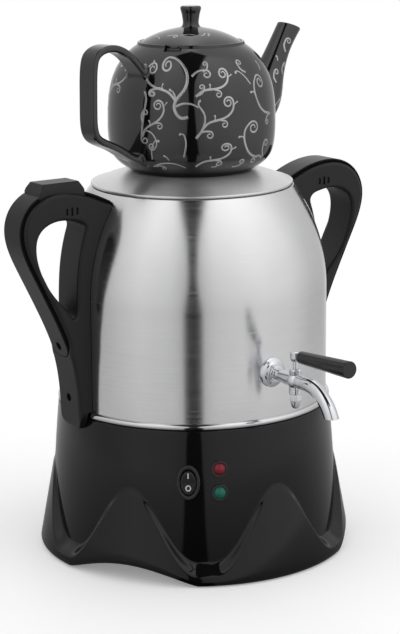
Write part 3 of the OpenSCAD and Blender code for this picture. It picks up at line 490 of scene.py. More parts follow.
def add_node(
    tree: Tree,
    kind: str,
    settings: Optional[dict[Any, Any]] = None,
    links: Optional[dict[Any, Any]] = None,
) -> bpy.types.Node:
    """Adds a node with its settings and links.

    Args:
        tree: the tree that gets it.
        kind: the node's type, without the ShaderNode that all begin with.
        settings: values by the name of an attribute, or by the name or number of an input.
        links: by the name or number of an input, the socket or the node that feeds it. A node
            gives its first output.

    Returns:
        The node.
    """
    made = tree.nodes.new("ShaderNode" + kind)
    for key, value in (settings or {}).items():
        if isinstance(key, int) or key in made.inputs:
            made.inputs[key].default_value = value
        else:
            setattr(made, key, value)
    for key, source in (links or {}).items():
        socket = source.outputs[0] if isinstance(source, bpy.types.Node) else source
        tree.links.new(socket, made.inputs[key])
    return made


# How much of the fine grain joins the broad wear in the colour, and the ranges that their sum
# and the grain alone fill
GRAIN_SHARE = 0.45
SUM_LOW, SUM_HIGH = 0.45, 1.0
NOISE_LOW, NOISE_HIGH = 0.25, 0.75
# Turn of the smear, as a share of a whole one, that lays it across the hairlines
QUARTER_TURN = 0.25


def cleared(owner: Any) -> Tree:
    """Node tree of a material or a world, emptied."""
    owner.use_nodes = True
    owner.node_tree.nodes.clear()
    return owner.node_tree


class Grain(Enum):
    """Directions in which a surface's marks run."""

    EVEN = (1.0, 1.0, 1.0)
    ROUND_Z = (0.02, 0.02, 1.0)


@dataclass(frozen=True)
class Finish:
    """Finish of a solid surface: a colour with a fine grain over broad, faint wear.

    The grain is drawn at grain_mm and lifts the surface by relief_mm. The wear, at wear_mm,
    shifts the roughness by wear and the colour by mottle.
    """

    name: str
    tint: str
    roughness: float
    metallic: float = 0.0
    ior: float = 1.5
    specular: float = 0.5
    grain: Grain = Grain.EVEN
    grain_mm: float = 0.8
    relief_mm: float = 0.01
    rough_swing: float = 0.05
    mottle: float = 0.06
    wear_mm: float = 40.0
    wear: float = 0.03
    anisotropy: float = 0.0
    glow: float = 0.0

    def material(self) -> bpy.types.Material:
        """Builds the material, or finds it if it has been built.

        Returns:
            The material.
        """
        found = bpy.data.materials.get(self.name)
        if found is not None:
            return found
        made = bpy.data.materials.new(self.name)
        tree = cleared(made)
        place = add_node(tree, "TexCoord").outputs["Object"]
        stretch = [s / (self.grain_mm * MM) for s in self.grain.value]
        fine_place = add_node(tree, "Mapping", {"Scale": stretch}, {"Vector": place})
        fine = add_node(tree, "TexNoise", {"Scale": 1.0, "Detail": 3.0, "Roughness": 0.6},
                        {"Vector": fine_place})
        broad = add_node(tree, "TexNoise",
                         {"Scale": 1 / (self.wear_mm * MM), "Detail": 4.0, "Roughness": 0.55},
                         {"Vector": place})
        both = add_node(tree, "Math", {"operation": "MULTIPLY_ADD", 1: GRAIN_SHARE},
                        {0: fine, 2: broad})
        shade = add_node(tree, "MapRange",
                         {"From Min": SUM_LOW, "From Max": SUM_HIGH, "To Min": 1 - self.mottle,
                          "To Max": 1 + self.mottle}, {"Value": both})
        colour = add_node(tree, "VectorMath",
                          {"operation": "SCALE", 0: linear(self.tint)[:3]},
                          {"Scale": shade})
        low = self.roughness - self.rough_swing
        polish = add_node(tree, "MapRange",
                          {"From Min": NOISE_LOW, "From Max": NOISE_HIGH, "To Min": low,
                           "To Max": low + 2 * self.rough_swing}, {"Value": fine})
        rough = add_node(tree, "Math",
                         {"operation": "MULTIPLY_ADD", 1: self.wear, "use_clamp": True},
                         {0: broad, 2: polish})
        lift = add_node(tree, "Bump",
                        {"Strength": 1.0, "Distance": self.relief_mm * MM},
                        {"Height": fine})
        settings = {
            "Metallic": self.metallic,
            "IOR": self.ior,
            "Specular IOR Level": self.specular,
            "Anisotropic": self.anisotropy,
            "Anisotropic Rotation": QUARTER_TURN if self.anisotropy else 0.0,
            "Emission Strength": self.glow,
        }
        links = {"Base Color": colour, "Roughness": rough, "Normal": lift}
        if self.anisotropy:
            links["Tangent"] = add_node(tree, "Tangent", {"direction_type": "RADIAL", "axis": "Z"})
        if self.glow:
            settings["Emission Color"] = linear(self.tint)
        shader = add_node(tree, "BsdfPrincipled", settings, links)
        add_node(tree, "OutputMaterial", {}, {"Surface": shader})
        return made


# Moulded gloss ABS: deep black with a faint, slow ripple in its reflections.
GLOSS_ABS = Finish("moulded gloss ABS", "#0f0f10", 0.045, specular=0.34,
                   grain_mm=3.0, relief_mm=0.0012, rough_swing=0.01, mottle=0.12, wear=0.02)
# Moulded polypropylene of the underside: even and dull.
PLAIN_PP = Finish("moulded polypropylene", "#1c1c1d", 0.5, ior=1.49, specular=0.3,
                  grain_mm=0.6, relief_mm=0.02, mottle=0.15)
# Phenolic of the handles: satin black, to which its spark-eroded mould gives a fine grain.
# The real grain is about 0.1 mm and is drawn at 0.5 mm so that it shows.
SATIN_PHENOLIC = Finish("satin moulded phenolic", "#161617", 0.4, ior=1.55, specular=0.29,
                        grain_mm=0.5, relief_mm=0.012, mottle=0.12)
# Phenolic of the strip along the spine: the same, polished a little more.
SPINE_PHENOLIC = Finish("polished moulded phenolic", "#151516", 0.36, ior=1.55, specular=0.24,
                        grain_mm=0.5, relief_mm=0.008, mottle=0.12)
# Painted shadow in the seam of a handle: a matt black fill that makes the seam read as a black line
# where the real groove is only in shade.
SEAM_SHADE_FILL = Finish("matt painted seam shadow", "#060606", 0.85, specular=0.1, grain_mm=0.6)
# Nylon of the switch: black with a dull shine.
SWITCH_NYLON = Finish("moulded black nylon", "#1d1d1e", 0.42, ior=1.53,
                      grain_mm=0.6, relief_mm=0.006, mottle=0.1)
# Marks printed on the switch: chalky white ink.
SWITCH_INK = Finish("white pad-printed ink", "#d8d8d4", 0.5, grain_mm=0.4, relief_mm=0.004)
# Stainless steel brushed while it turns on a lathe: level hairlines that smear reflections upwards.
# The real lines are about 0.1 mm apart and are drawn at 0.8 mm so that they show.
BRUSHED_STEEL = Finish("brushed stainless steel", "#dededf", 0.2, metallic=1.0,
                       grain=Grain.ROUND_Z, relief_mm=0.0012, rough_swing=0.06, mottle=0.05,
                       wear_mm=70.0, anisotropy=0.75)
# The same steel on the lid, brushed in rings and left duller.
RING_BRUSHED_STEEL = Finish("ring-brushed stainless steel", "#e0e0e1", 0.4, metallic=1.0,
                            grain=Grain.ROUND_Z, relief_mm=0.0007, rough_swing=0.03,
                            mottle=0.02, wear_mm=60.0, anisotropy=0.78)
# Stainless steel polished on a wheel: a clear, slightly uneven mirror.
POLISHED_STEEL = Finish("polished stainless steel", "#d6d6d8", 0.07, metallic=1.0,
                        grain=Grain.ROUND_Z, grain_mm=1.0, relief_mm=0.0006, rough_swing=0.02,
                        mottle=0.02, wear=0.02)
# Deep-drawn steel of the tank: a dull, drawn surface with water marks.
DRAWN_STEEL = Finish("deep-drawn stainless steel", "#bdbdbe", 0.34, metallic=1.0,
                     grain=Grain.ROUND_Z, grain_mm=1.4, relief_mm=0.003, mottle=0.08, wear=0.1)
# Chromium over brass: a bright, cold mirror.
CHROMED_BRASS = Finish("chromium-plated brass", "#dcdde0", 0.06, metallic=1.0, grain_mm=1.6,
                       relief_mm=0.0008, rough_swing=0.02, mottle=0.02)
# Zinc on steel fasteners: pale grey with a mottled bloom.
ZINC_STEEL = Finish("zinc-plated steel", "#a9adb2", 0.32, metallic=1.0, grain_mm=1.0,
                    relief_mm=0.003, mottle=0.12, wear_mm=6.0, wear=0.12)
# Sand-cast aluminium: pale and grainy.
CAST_ALUMINIUM = Finish("cast aluminium", "#b9babc", 0.5, metallic=1.0, grain_mm=0.9,
                        relief_mm=0.03, mottle=0.1, wear=0.1)
# Nickel alloy tube of the element, darkened by heat.
HOT_SHEATH = Finish("heat-darkened nickel alloy", "#5b534c", 0.45, metallic=0.9, grain_mm=1.2,
                    relief_mm=0.004, mottle=0.25, wear_mm=9.0, wear=0.15)
# Steatite: a matt, cream ceramic.
STEATITE = Finish("pressed steatite", "#d9d0b8", 0.55, ior=1.6, grain_mm=0.5)
# Polyamide of the terminal block: waxy off-white.
TERMINAL_PA = Finish("moulded polyamide", "#cfccc0", 0.4, ior=1.53, relief_mm=0.008)
# Silicone of the seals: soft, milky and dull.
SILICONE = Finish("moulded silicone", "#cfcdc6", 0.5, ior=1.41, grain_mm=1.0)
# Rubber of the feet: dark and matt.
FOOT_RUBBER = Finish("moulded rubber", "#222222", 0.7, ior=1.52, specular=0.3, grain_mm=0.7,
                     relief_mm=0.02, mottle=0.15)
# Acetal of the plug: smooth and slightly yellow.
PLUG_ACETAL = Finish("turned acetal", "#cdbf9a", 0.35, ior=1.48, grain_mm=0.6, relief_mm=0.005)
# Grip of the tap: lacquered phenolic.
GRIP_PHENOLIC = Finish("lacquered phenolic", "#161617", 0.2, ior=1.55, specular=0.45,
                       relief_mm=0.004, mottle=0.1)
# Glaze on stoneware: a thick black glass that runs a little unevenly over the clay.
BLACK_GLAZE = Finish("black-glazed stoneware", "#0e0e0f", 0.05, ior=1.68,
                     grain_mm=9.0, relief_mm=0.008, rough_swing=0.015, mottle=0.2, wear=0.02)
# Platinum lustre fired on the glaze: a thin, brushed-on silver.
PLATINUM_LUSTRE = Finish("fired platinum lustre", "#b2b2b1", 0.26, metallic=0.9, grain_mm=0.7,
                         mottle=0.18, wear_mm=5.0, wear=0.15)
# Polycarbonate lenses: deep in tint, satin outside, with a faint painted glow that stands for the
# light they gather.
RED_LENS = Finish("red polycarbonate", "#781020", 0.34, ior=1.58, specular=0.35, grain_mm=1.2,
                  relief_mm=0.004, mottle=0.08, glow=0.05)
GREEN_LENS = Finish("green polycarbonate", "#056350", 0.34, ior=1.58, specular=0.35, grain_mm=1.2,
                    relief_mm=0.004, mottle=0.08, glow=0.05)

# Finishes of the solids that show as they are
NODE_FINISHES: dict[str, Finish] = {
    "bottom_plate": PLAIN_PP, "foot_pads": FOOT_RUBBER, "water_tank": DRAWN_STEEL,
    "tank_support": ZINC_STEEL, "heater_plate": CAST_ALUMINIUM, "heating_element": HOT_SHEATH,
    "thermostat": STEATITE, "dry_boil_cutout": CAST_ALUMINIUM, "tie_rods": ZINC_STEEL,
    "rod_nuts": ZINC_STEEL, "terminal_block": TERMINAL_PA, "power_inlet": SWITCH_NYLON,
    "inlet_pins": ZINC_STEEL, "lamp_nuts": PLAIN_PP, "handle_screws": ZINC_STEEL,
    "handle_nuts": ZINC_STEEL, "button_spring": ZINC_STEEL, "tap_spacer": DRAWN_STEEL,
    "tap_washer": SILICONE, "tap_back_nut": CHROMED_BRASS, "tap_plug": PLUG_ACETAL,
    "lid_seal": SILICONE,
}


def dress(
    thing: Thing,
    finish: Finish,
    body: Body,
    stands_for: Sequence[str] = (),
    crease: float = 35.0,
) -> None:
    """Gives a finished mesh its material, its shading and the body that it rides on.

    Args:
        thing: the object.
        finish: its finish.
        body: the body that carries it.
        stands_for: the CAD nodes that it is shown in place of.
        crease: the smallest angle in degrees that shows as an edge.
    """
    thing.data.materials.clear()
    thing.data.materials.append(finish.material())
    thing.data.shade_smooth()
    thing.data.set_sharp_from_angle(angle=math.radians(crease))
    even = thing.modifiers.new("even shading", "WEIGHTED_NORMAL")
    even.keep_sharp = True
    even.weight = 80
    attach(thing, body.value)
    if stands_for:
        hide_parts(*stands_for)
    log.info("%s: %d faces on %s", thing.name, len(thing.data.polygons), body.value)


# ---------------- base


@dataclass
class Base:
    """Moulded housing with six lobes, and the switch and lamps on it.

    Every turn is in degrees from the tap.
    """

    height: float = 113.8
    top_r: float = 103.8
    top_round: float = 1.0
    foot_r: float = 110.2
    flare: float = 1.7
    skirt_r: float = 120.5
    skirt_draft: float = 0.183
    lobe_pitch: float = 60.0
    lobe_z: float = 71.0
    lobe_half: float = 27.0
    valley_z: float = 16.0
    valley_soft: float = 2.5
    valley_curve: float = 2.6
    valley_lift: float = 0.6
    ledge_h: float = 8.0
    foot_gap: float = 0.4
    arch_h: float = 12.0
    arch_half: float = 27.0
    arch_curve: float = 1.3
    arch_turns: tuple[float, ...] = (60.0, 180.0, 300.0)
    edge_r: float = 3.5
    wall: float = 2.6
    deck_bore: float = 80.0
    deck_t: float = 3.0
    columns: int = 360
    switch_turn: float = -36.6
    switch_z: float = 76.4
    bezel: Pair = (17.3, 25.8)
    switch_hole: float = 2.8
    switch_case: float = 3.3
    rocker: Pair = (11.2, 18.2)
    rocker_play: Pair = (0.8, 1.6)
    rocker_tilt: float = 8.0
    rocker_sink: float = 4.4
    ink: float = 0.06
    lamp_turn: float = -24.4
    lamp_z: Pair = (85.8, 68.3)
    lamp_hole: float = 8.3
    lens_r: float = 4.5
    dome_low: float = 1.2
    rim_r: float = 6.1
    neck_r: float = 3.9
    neck_l: float = 16.0
    inlet_z: float = 88.0
    inlet_hole: Pair = (19.3, 26.8)

    def plain_r(self, z: float) -> float:
        """Radius of the plain surface between the lobes at a height."""
        share = max(z, 0.0) / self.height
        return self.foot_r - (self.foot_r - self.top_r) * share**self.flare

    def housing_r(self, turn: float, z: float) -> float:
        """Radius of the housing's outer surface at an angle and a height."""
        plain = self.plain_r(z)
        top, knee = self.ledge(turn)
        t = max(0.0, min(1.0, (top - z) / (top - knee)))
        reach = max(0.0, self.skirt_r - self.skirt_draft * z - plain)
        return plain + reach * t**3 * (t * (6 * t - 15) + 10)

    def ledge(self, turn: float) -> Pair:
        """Upper and lower end of the wavy ledge, which is crisp on the lobes and soft between them.

        Args:
            turn: angle from the tap in degrees.

        Returns:
            The two heights.
        """
        half_pitch = self.lobe_pitch / 2
        away = abs((turn + half_pitch) % self.lobe_pitch - half_pitch)
        crest = (1 + math.cos(math.pi * min(away / self.lobe_half, 1))) / 2
        soft = self.valley_soft * (1 - crest) ** self.valley_curve
        top = lerp(self.valley_z, self.lobe_z, crest) + self.valley_lift * soft
        return top, top - self.ledge_h - soft

    def edge_z(self, turn: float) -> float:
        """Height of the bottom edge at an angle from the tap."""
        away = [abs((turn - a + 180) % 360 - 180) / self.arch_half for a in self.arch_turns]
        rise = max(max(0.0, 1 - a**2) ** self.arch_curve for a in away)
        return self.foot_gap + self.arch_h * rise

    def column(self, turn: float) -> Row:
        """Upright section of the housing's wall.

        Args:
            turn: angle from the tap in degrees.

        Returns:
            Radius and height along the closed section.
        """
        e, soft = self.edge_r, self.top_round
        low = self.edge_z(turn) + e
        wave, knee = self.ledge(turn)
        knee, out = max(knee, low + 0.5), self.housing_r(turn, low)
        row = arc(out - e, low, e, range(-90, 1, 15))
        for a, b, n in ((low, knee, 8), (knee, wave, 14), (wave, self.height - soft, 12)):
            heights = [lerp(a, b, k / n) for k in range(1, n + 1)]
            row += [(self.housing_r(turn, z), z) for z in heights]
        row += arc(self.plain_r(self.height) - soft, self.height - soft, soft, (30, 60, 90))
        deck = self.height - self.deck_t
        row += [(self.deck_bore, self.height), (self.deck_bore, deck)]
        row += [(self.plain_r(deck) - self.wall, deck)]
        heights = [lerp(wave, knee, k / 4) for k in range(5)]
        row += [(self.housing_r(turn, z) - self.wall, z) for z in heights]
        return row + [(out - self.wall, low), (out - e, low - e + self.wall)]

    def spot(self, turn: float, z: float) -> Matrix:
        """Place on the plain surface at an angle and a height, with +X pointing out of it."""
        slope = (self.plain_r(z - 1) - self.plain_r(z + 1)) / 2
        tilt = -math.degrees(math.atan(slope))
        return spun(turn - 90) @ slid(self.plain_r(z), 0, z) @ spun(tilt, "Y")

    def housing(self) -> None:
        """Builds the moulded housing with its openings."""
        rings = []
        for turn in (360 * j / self.columns for j in range(self.columns)):
            row = np.array(self.column(turn))
            b = math.radians(turn - 90)
            x, y = row[:, 0] * math.cos(b), row[:, 0] * math.sin(b)
            rings.append(np.column_stack([x, y, row[:, 1]]))
        wide, tall = (size - self.switch_hole for size in self.bezel)
        switch = oval_loft([(wide, tall, -8), (wide, tall, 4)])
        inlet = block(*self.inlet_hole, 14, 2)
        cutters = [
            switch.placed(self.spot(self.switch_turn, self.switch_z)),
            inlet.placed(self.spot(180, self.inlet_z) @ spun(90, "Y")),
        ]
        for z in self.lamp_z:
            place = self.spot(self.lamp_turn, z) @ spun(90, "Y")
            cutters.append(rod(self.lamp_hole, -10, 10).placed(place))
        thing = carve(as_object("base_housing", loft(rings, wrap=True)), *cutters)
        dress(thing, GLOSS_ABS, Body.SAMOVAR, ["base_shell"])

    def switch(self) -> None:
        """Builds the switch's oval frame and its rocker, with the marks on it."""
        place = self.spot(self.switch_turn, self.switch_z)
        wide, tall = self.bezel
        case_w, case_h = wide - self.switch_case, tall - self.switch_case
        w, h = self.rocker
        pocket_w, pocket_h = w + self.rocker_play[0], h + self.rocker_play[1]
        rings = [
            (case_w, case_h, -15), (case_w, case_h, -0.9), (wide, tall, -0.9), (wide, tall, 0.9),
            (wide - 0.3, tall - 0.3, 1.4), (wide - 1.0, tall - 1.0, 1.8),
            (wide - 1.8, tall - 1.8, 2.0), (pocket_w + 1.4, pocket_h + 1.4, 1.9),
            (pocket_w + 0.5, pocket_h + 0.5, 1.6), (pocket_w, pocket_h, 1.0),
            (pocket_w, pocket_h, -7),
        ]
        tabs = [block(9, 4, 0.8).placed(slid(-14.5, 0, z)) for z in (-6, 0, 6)]
        thing = as_object("switch_frame", oval_loft(rings).joined(*tabs).placed(place))
        dress(thing, SWITCH_NYLON, Body.SAMOVAR, ["switch_housing"], 40)

        row = oval_row(w, h)
        skins = [np.column_stack([np.full(len(row), -self.rocker_sink), row])]
        # The cap's rim falls away from its hollow face: share of the outline, and drop
        rim = ((1.0, 0.9), (0.975, 0.35), (0.92, 0.08), (0.8, 0), (0.6, 0), (0.4, 0), (0.2, 0),
               (0.02, 0))
        for share, drop in rim:
            row = oval_row(w * share, h * share)
            skins.append(np.column_stack([[self.rocker_face(z) - drop for z in row[:, 1]], row]))
        pin = rod(2.2, -6.6, 6.6, 24).placed(spun(90, "X"))
        rest = place @ spun(self.rocker_tilt, "Y")
        thing = as_object("switch_rocker_cap", loft(skins).joined(pin).placed(rest))
        dress(thing, SWITCH_NYLON, Body.ROCKER, ["switch_rocker"], 50)

        corners = [(0.45 * sx, 6.0 + 2.1 * sy) for sx, sy in ((-1, -1), (1, -1), (1, 1), (-1, 1))]
        bar = self.mark(np.array(rounded([(*c, 0.2) for c in corners], True)))
        ring = self.mark(*(oval_row(x, z, 40) + [0, -3.6] for x, z in ((4.2, 4.6), (2.5, 2.9))))
        thing = as_object("switch_marks", bar.joined(ring).placed(rest))
        dress(thing, SWITCH_INK, Body.ROCKER, (), 60)

    def rocker_face(self, z: float) -> float:
        """Height of the rocker's hollow face above its pivot, at a distance from its middle."""
        end = math.sqrt(max(0.0, (self.rocker[1] / 2) ** 2 - z * z)) + 0.9
        return min(2.1 + 0.08 * abs(z), end)

    def mark(self, outer: np.ndarray, inner: Optional[np.ndarray] = None) -> Shell:
        """Printed mark on the rocker's face.

        Args:
            outer: its outline, across and up.
            inner: the outline of its opening, with as many points, if it has one.

        Returns:
            A thin raised shell.
        """
        def lifted(row: np.ndarray, proud: float) -> np.ndarray:
            """Puts a flat outline on the face, standing proud of it."""
            return np.column_stack([[self.rocker_face(z) + proud for z in row[:, 1]], row])

        rings = [lifted(outer, -0.1), lifted(outer, self.ink)]
        if inner is not None:
            rings += [lifted(inner, self.ink), lifted(inner, -0.1)]
        return loft(rings, wrap=inner is not None)

    def lamps(self) -> None:
        """Builds the two pilot lamps, each a domed lens in a black rim."""
        lens_r, rim_r, neck_r, sunk = self.lens_r, self.rim_r, self.neck_r, -self.neck_l
        dome = arc(0, -self.dome_low, lens_r + 0.3, range(24, 91, 6))
        lens = turned([(0, 0.3), (4.55, 0.3), *dome[:-1], (0, dome[-1][1])], 64)
        rim = turned(rounded([
            (0, sunk), (neck_r, sunk), (neck_r, 0.1), (rim_r, 0.1, 0.1), (rim_r, 0.8, 0.3),
            (rim_r - 0.5, 1.15, 0.2), (lens_r + 0.05, 1.0, 0.1), (lens_r - 0.2, 0.2), (0, 0.2),
        ]), 64)
        for name, z, finish in zip(("red", "green"), self.lamp_z, (RED_LENS, GREEN_LENS)):
            place = self.spot(self.lamp_turn, z) @ spun(90, "Y")
            thing = as_object(f"{name}_lamp_lens", lens.placed(place))
            dress(thing, finish, Body.SAMOVAR, [f"{name}_lamp"], 50)
            thing = as_object(f"{name}_lamp_rim", rim.placed(place))
            dress(thing, SWITCH_NYLON, Body.SAMOVAR)

    def build(self) -> None:
        """Builds all of the base's own pieces."""
        self.housing()
        self.switch()
        self.lamps()


# ---------------- urn and lid


@dataclass
class Urn:
    """Steel urn with its polished trim ring."""

    radius: float = 101.4
    wall: float = 1.0
    foot_z: float = 115.4
    shoulder_z: float = 200.0
    lip_z: float = 277.5
    neck_r: float = 76.3
    lip_w: float = 4.3
    ring_z: float = 113.8
    ring_h: float = 4.8
    ring_bulge: float = 2.6
    ring_bore: float = 92.0
    tap_z: float = 152.2
    tap_hole: float = 10.5
    screw_rise: Pair = (15.0, 55.0)
    screw_hole: float = 3.7

    def dome(self, inset: float, steps: int = 36) -> Row:
        """Section of the domed shoulder.

        Args:
            inset: how far inside the outer surface it lies.
            steps: how many lines make it.

        Returns:
            Radius and height from the straight part up to the lip.
        """
        rise, drop = self.lip_z - self.shoulder_z, self.radius - self.neck_r
        rho = (rise * rise + drop * drop) / (2 * drop)
        end = math.asin(rise / rho)
        turns = [math.degrees(end * k / steps) for k in range(steps + 1)]
        return arc(self.radius - rho, self.shoulder_z, rho - inset, turns)

    def shell(self) -> None:
        """Builds the brushed shell, whose lip turns in to carry the lid."""
        outside, inside = self.dome(0), self.dome(self.wall)[:-1]
        inner, under = self.neck_r - self.lip_w + 0.25, self.lip_z - self.wall
        row = [(self.radius - self.wall, self.foot_z), (self.radius, self.foot_z)]
        row += [(self.radius, lerp(self.foot_z, self.shoulder_z, k / 8)) for k in range(1, 8)]
        row += outside[:-1]
        row += rounded([outside[-2], (*outside[-1], 0.9), (inner, self.lip_z)], steps=4)[1:]
        row += [(inner, under), (inside[-1][0], under), *inside[::-1]]
        holes = [rod(self.tap_hole, 0, 210).placed(slid(0, 0, self.tap_z) @ spun(90, "X"))]
        for side in (-90, 90):
            for rise in self.screw_rise:
                place = slid(0, 0, self.ring_z + rise) @ spun(side, "Y")
                holes.append(rod(self.screw_hole, 0, 210, 32).placed(place))
        thing = carve(as_object("urn_body", turned(row, 256)), *holes)
        dress(thing, BRUSHED_STEEL, Body.SAMOVAR, ["urn_shell"], 30)

    def ring(self) -> None:
        """Builds the polished half-round ring and its flange."""
        half, foot = self.ring_h / 2, self.radius + 0.25
        centre = self.radius + self.ring_bulge - half
        row = [
            (self.ring_bore, self.ring_z),
            *arc(centre, self.ring_z + half, half, range(-90, 91, 9)),
            (foot, self.ring_z + self.ring_h - 0.02), (foot, self.foot_z),
            (self.ring_bore, self.foot_z),
        ]
        thing = as_object("trim_band", turned(row, 256))
        dress(thing, POLISHED_STEEL, Body.SAMOVAR, ["trim_ring"], 40)

    def build(self) -> None:
        """Builds the shell and the ring."""
        self.shell()
        self.ring()


@dataclass
class Lid:
    """Domed steel lid with a rolled rim, steam holes and a flat seat for the teapot."""

    seat_z: float = 288.6
    seat_r: float = 48.5
    lip_z: float = 277.5
    rim_place_r: float = 74.9
    rim_r: float = 1.1
    gap: float = 0.6
    sheet: float = 1.0
    skirt_r: float = 70.6
    skirt_h: float = 11.0
    steam_place_r: float = 24.0
    steam_r: float = 4.0

    def build(self) -> None:
        """Builds the lid."""
        rim_z = self.lip_z + self.gap + self.rim_r
        low = rim_z + self.rim_r - 0.3
        a, b, sheet = self.rim_place_r, self.seat_r, self.sheet
        centre = (a * a + low * low - b * b - self.seat_z**2) / (2 * (low - self.seat_z))
        rho = math.hypot(a, low - centre)

        def dome(r: float, radius: float) -> Pair:
            """Point of the dome at a distance from the axis."""
            return r, centre + math.sqrt(radius * radius - r * r)

        top = [dome(lerp(a - 0.4, b, k / 16), rho) for k in range(17)]
        under = [dome(lerp(b - 1, self.skirt_r + 0.02, k / 12), rho - sheet) for k in range(13)]
        out, inner, foot = self.skirt_r, self.skirt_r - sheet, self.lip_z - self.skirt_h
        row = [(0, self.seat_z - sheet), *under, (inner, under[-1][1] - 0.4)]
        row += rounded([(inner, under[-1][1] - 0.5), (inner, foot, 0.4), (out, foot, 0.4),
                        (out, self.lip_z + 2.4)])
        row += arc(a, rim_z, self.rim_r, range(-120, 101, 20)) + top[:-2]
        row += rounded([top[-2], (*top[-1], 2.0), (0, self.seat_z)])[1:-1] + [(0, self.seat_z)]
        hole = rod(2 * self.steam_r, self.seat_z - 5, self.seat_z + 5, 48)
        holes = [hole.placed(spun(60 * i) @ slid(self.steam_place_r, 0, 0)) for i in range(6)]
        thing = carve(as_object("lid_dome", turned(row, 192)), *holes)
        dress(thing, RING_BRUSHED_STEEL, Body.LID, ["urn_lid"], 30)


# ---------------- handles


# Radius of an edge that stays sharp
SHARP = 0.01


class Side(str, Enum):
    """Sides of the urn that a handle is on. The left one holds the button."""

    LEFT = "left"
    RIGHT = "right"


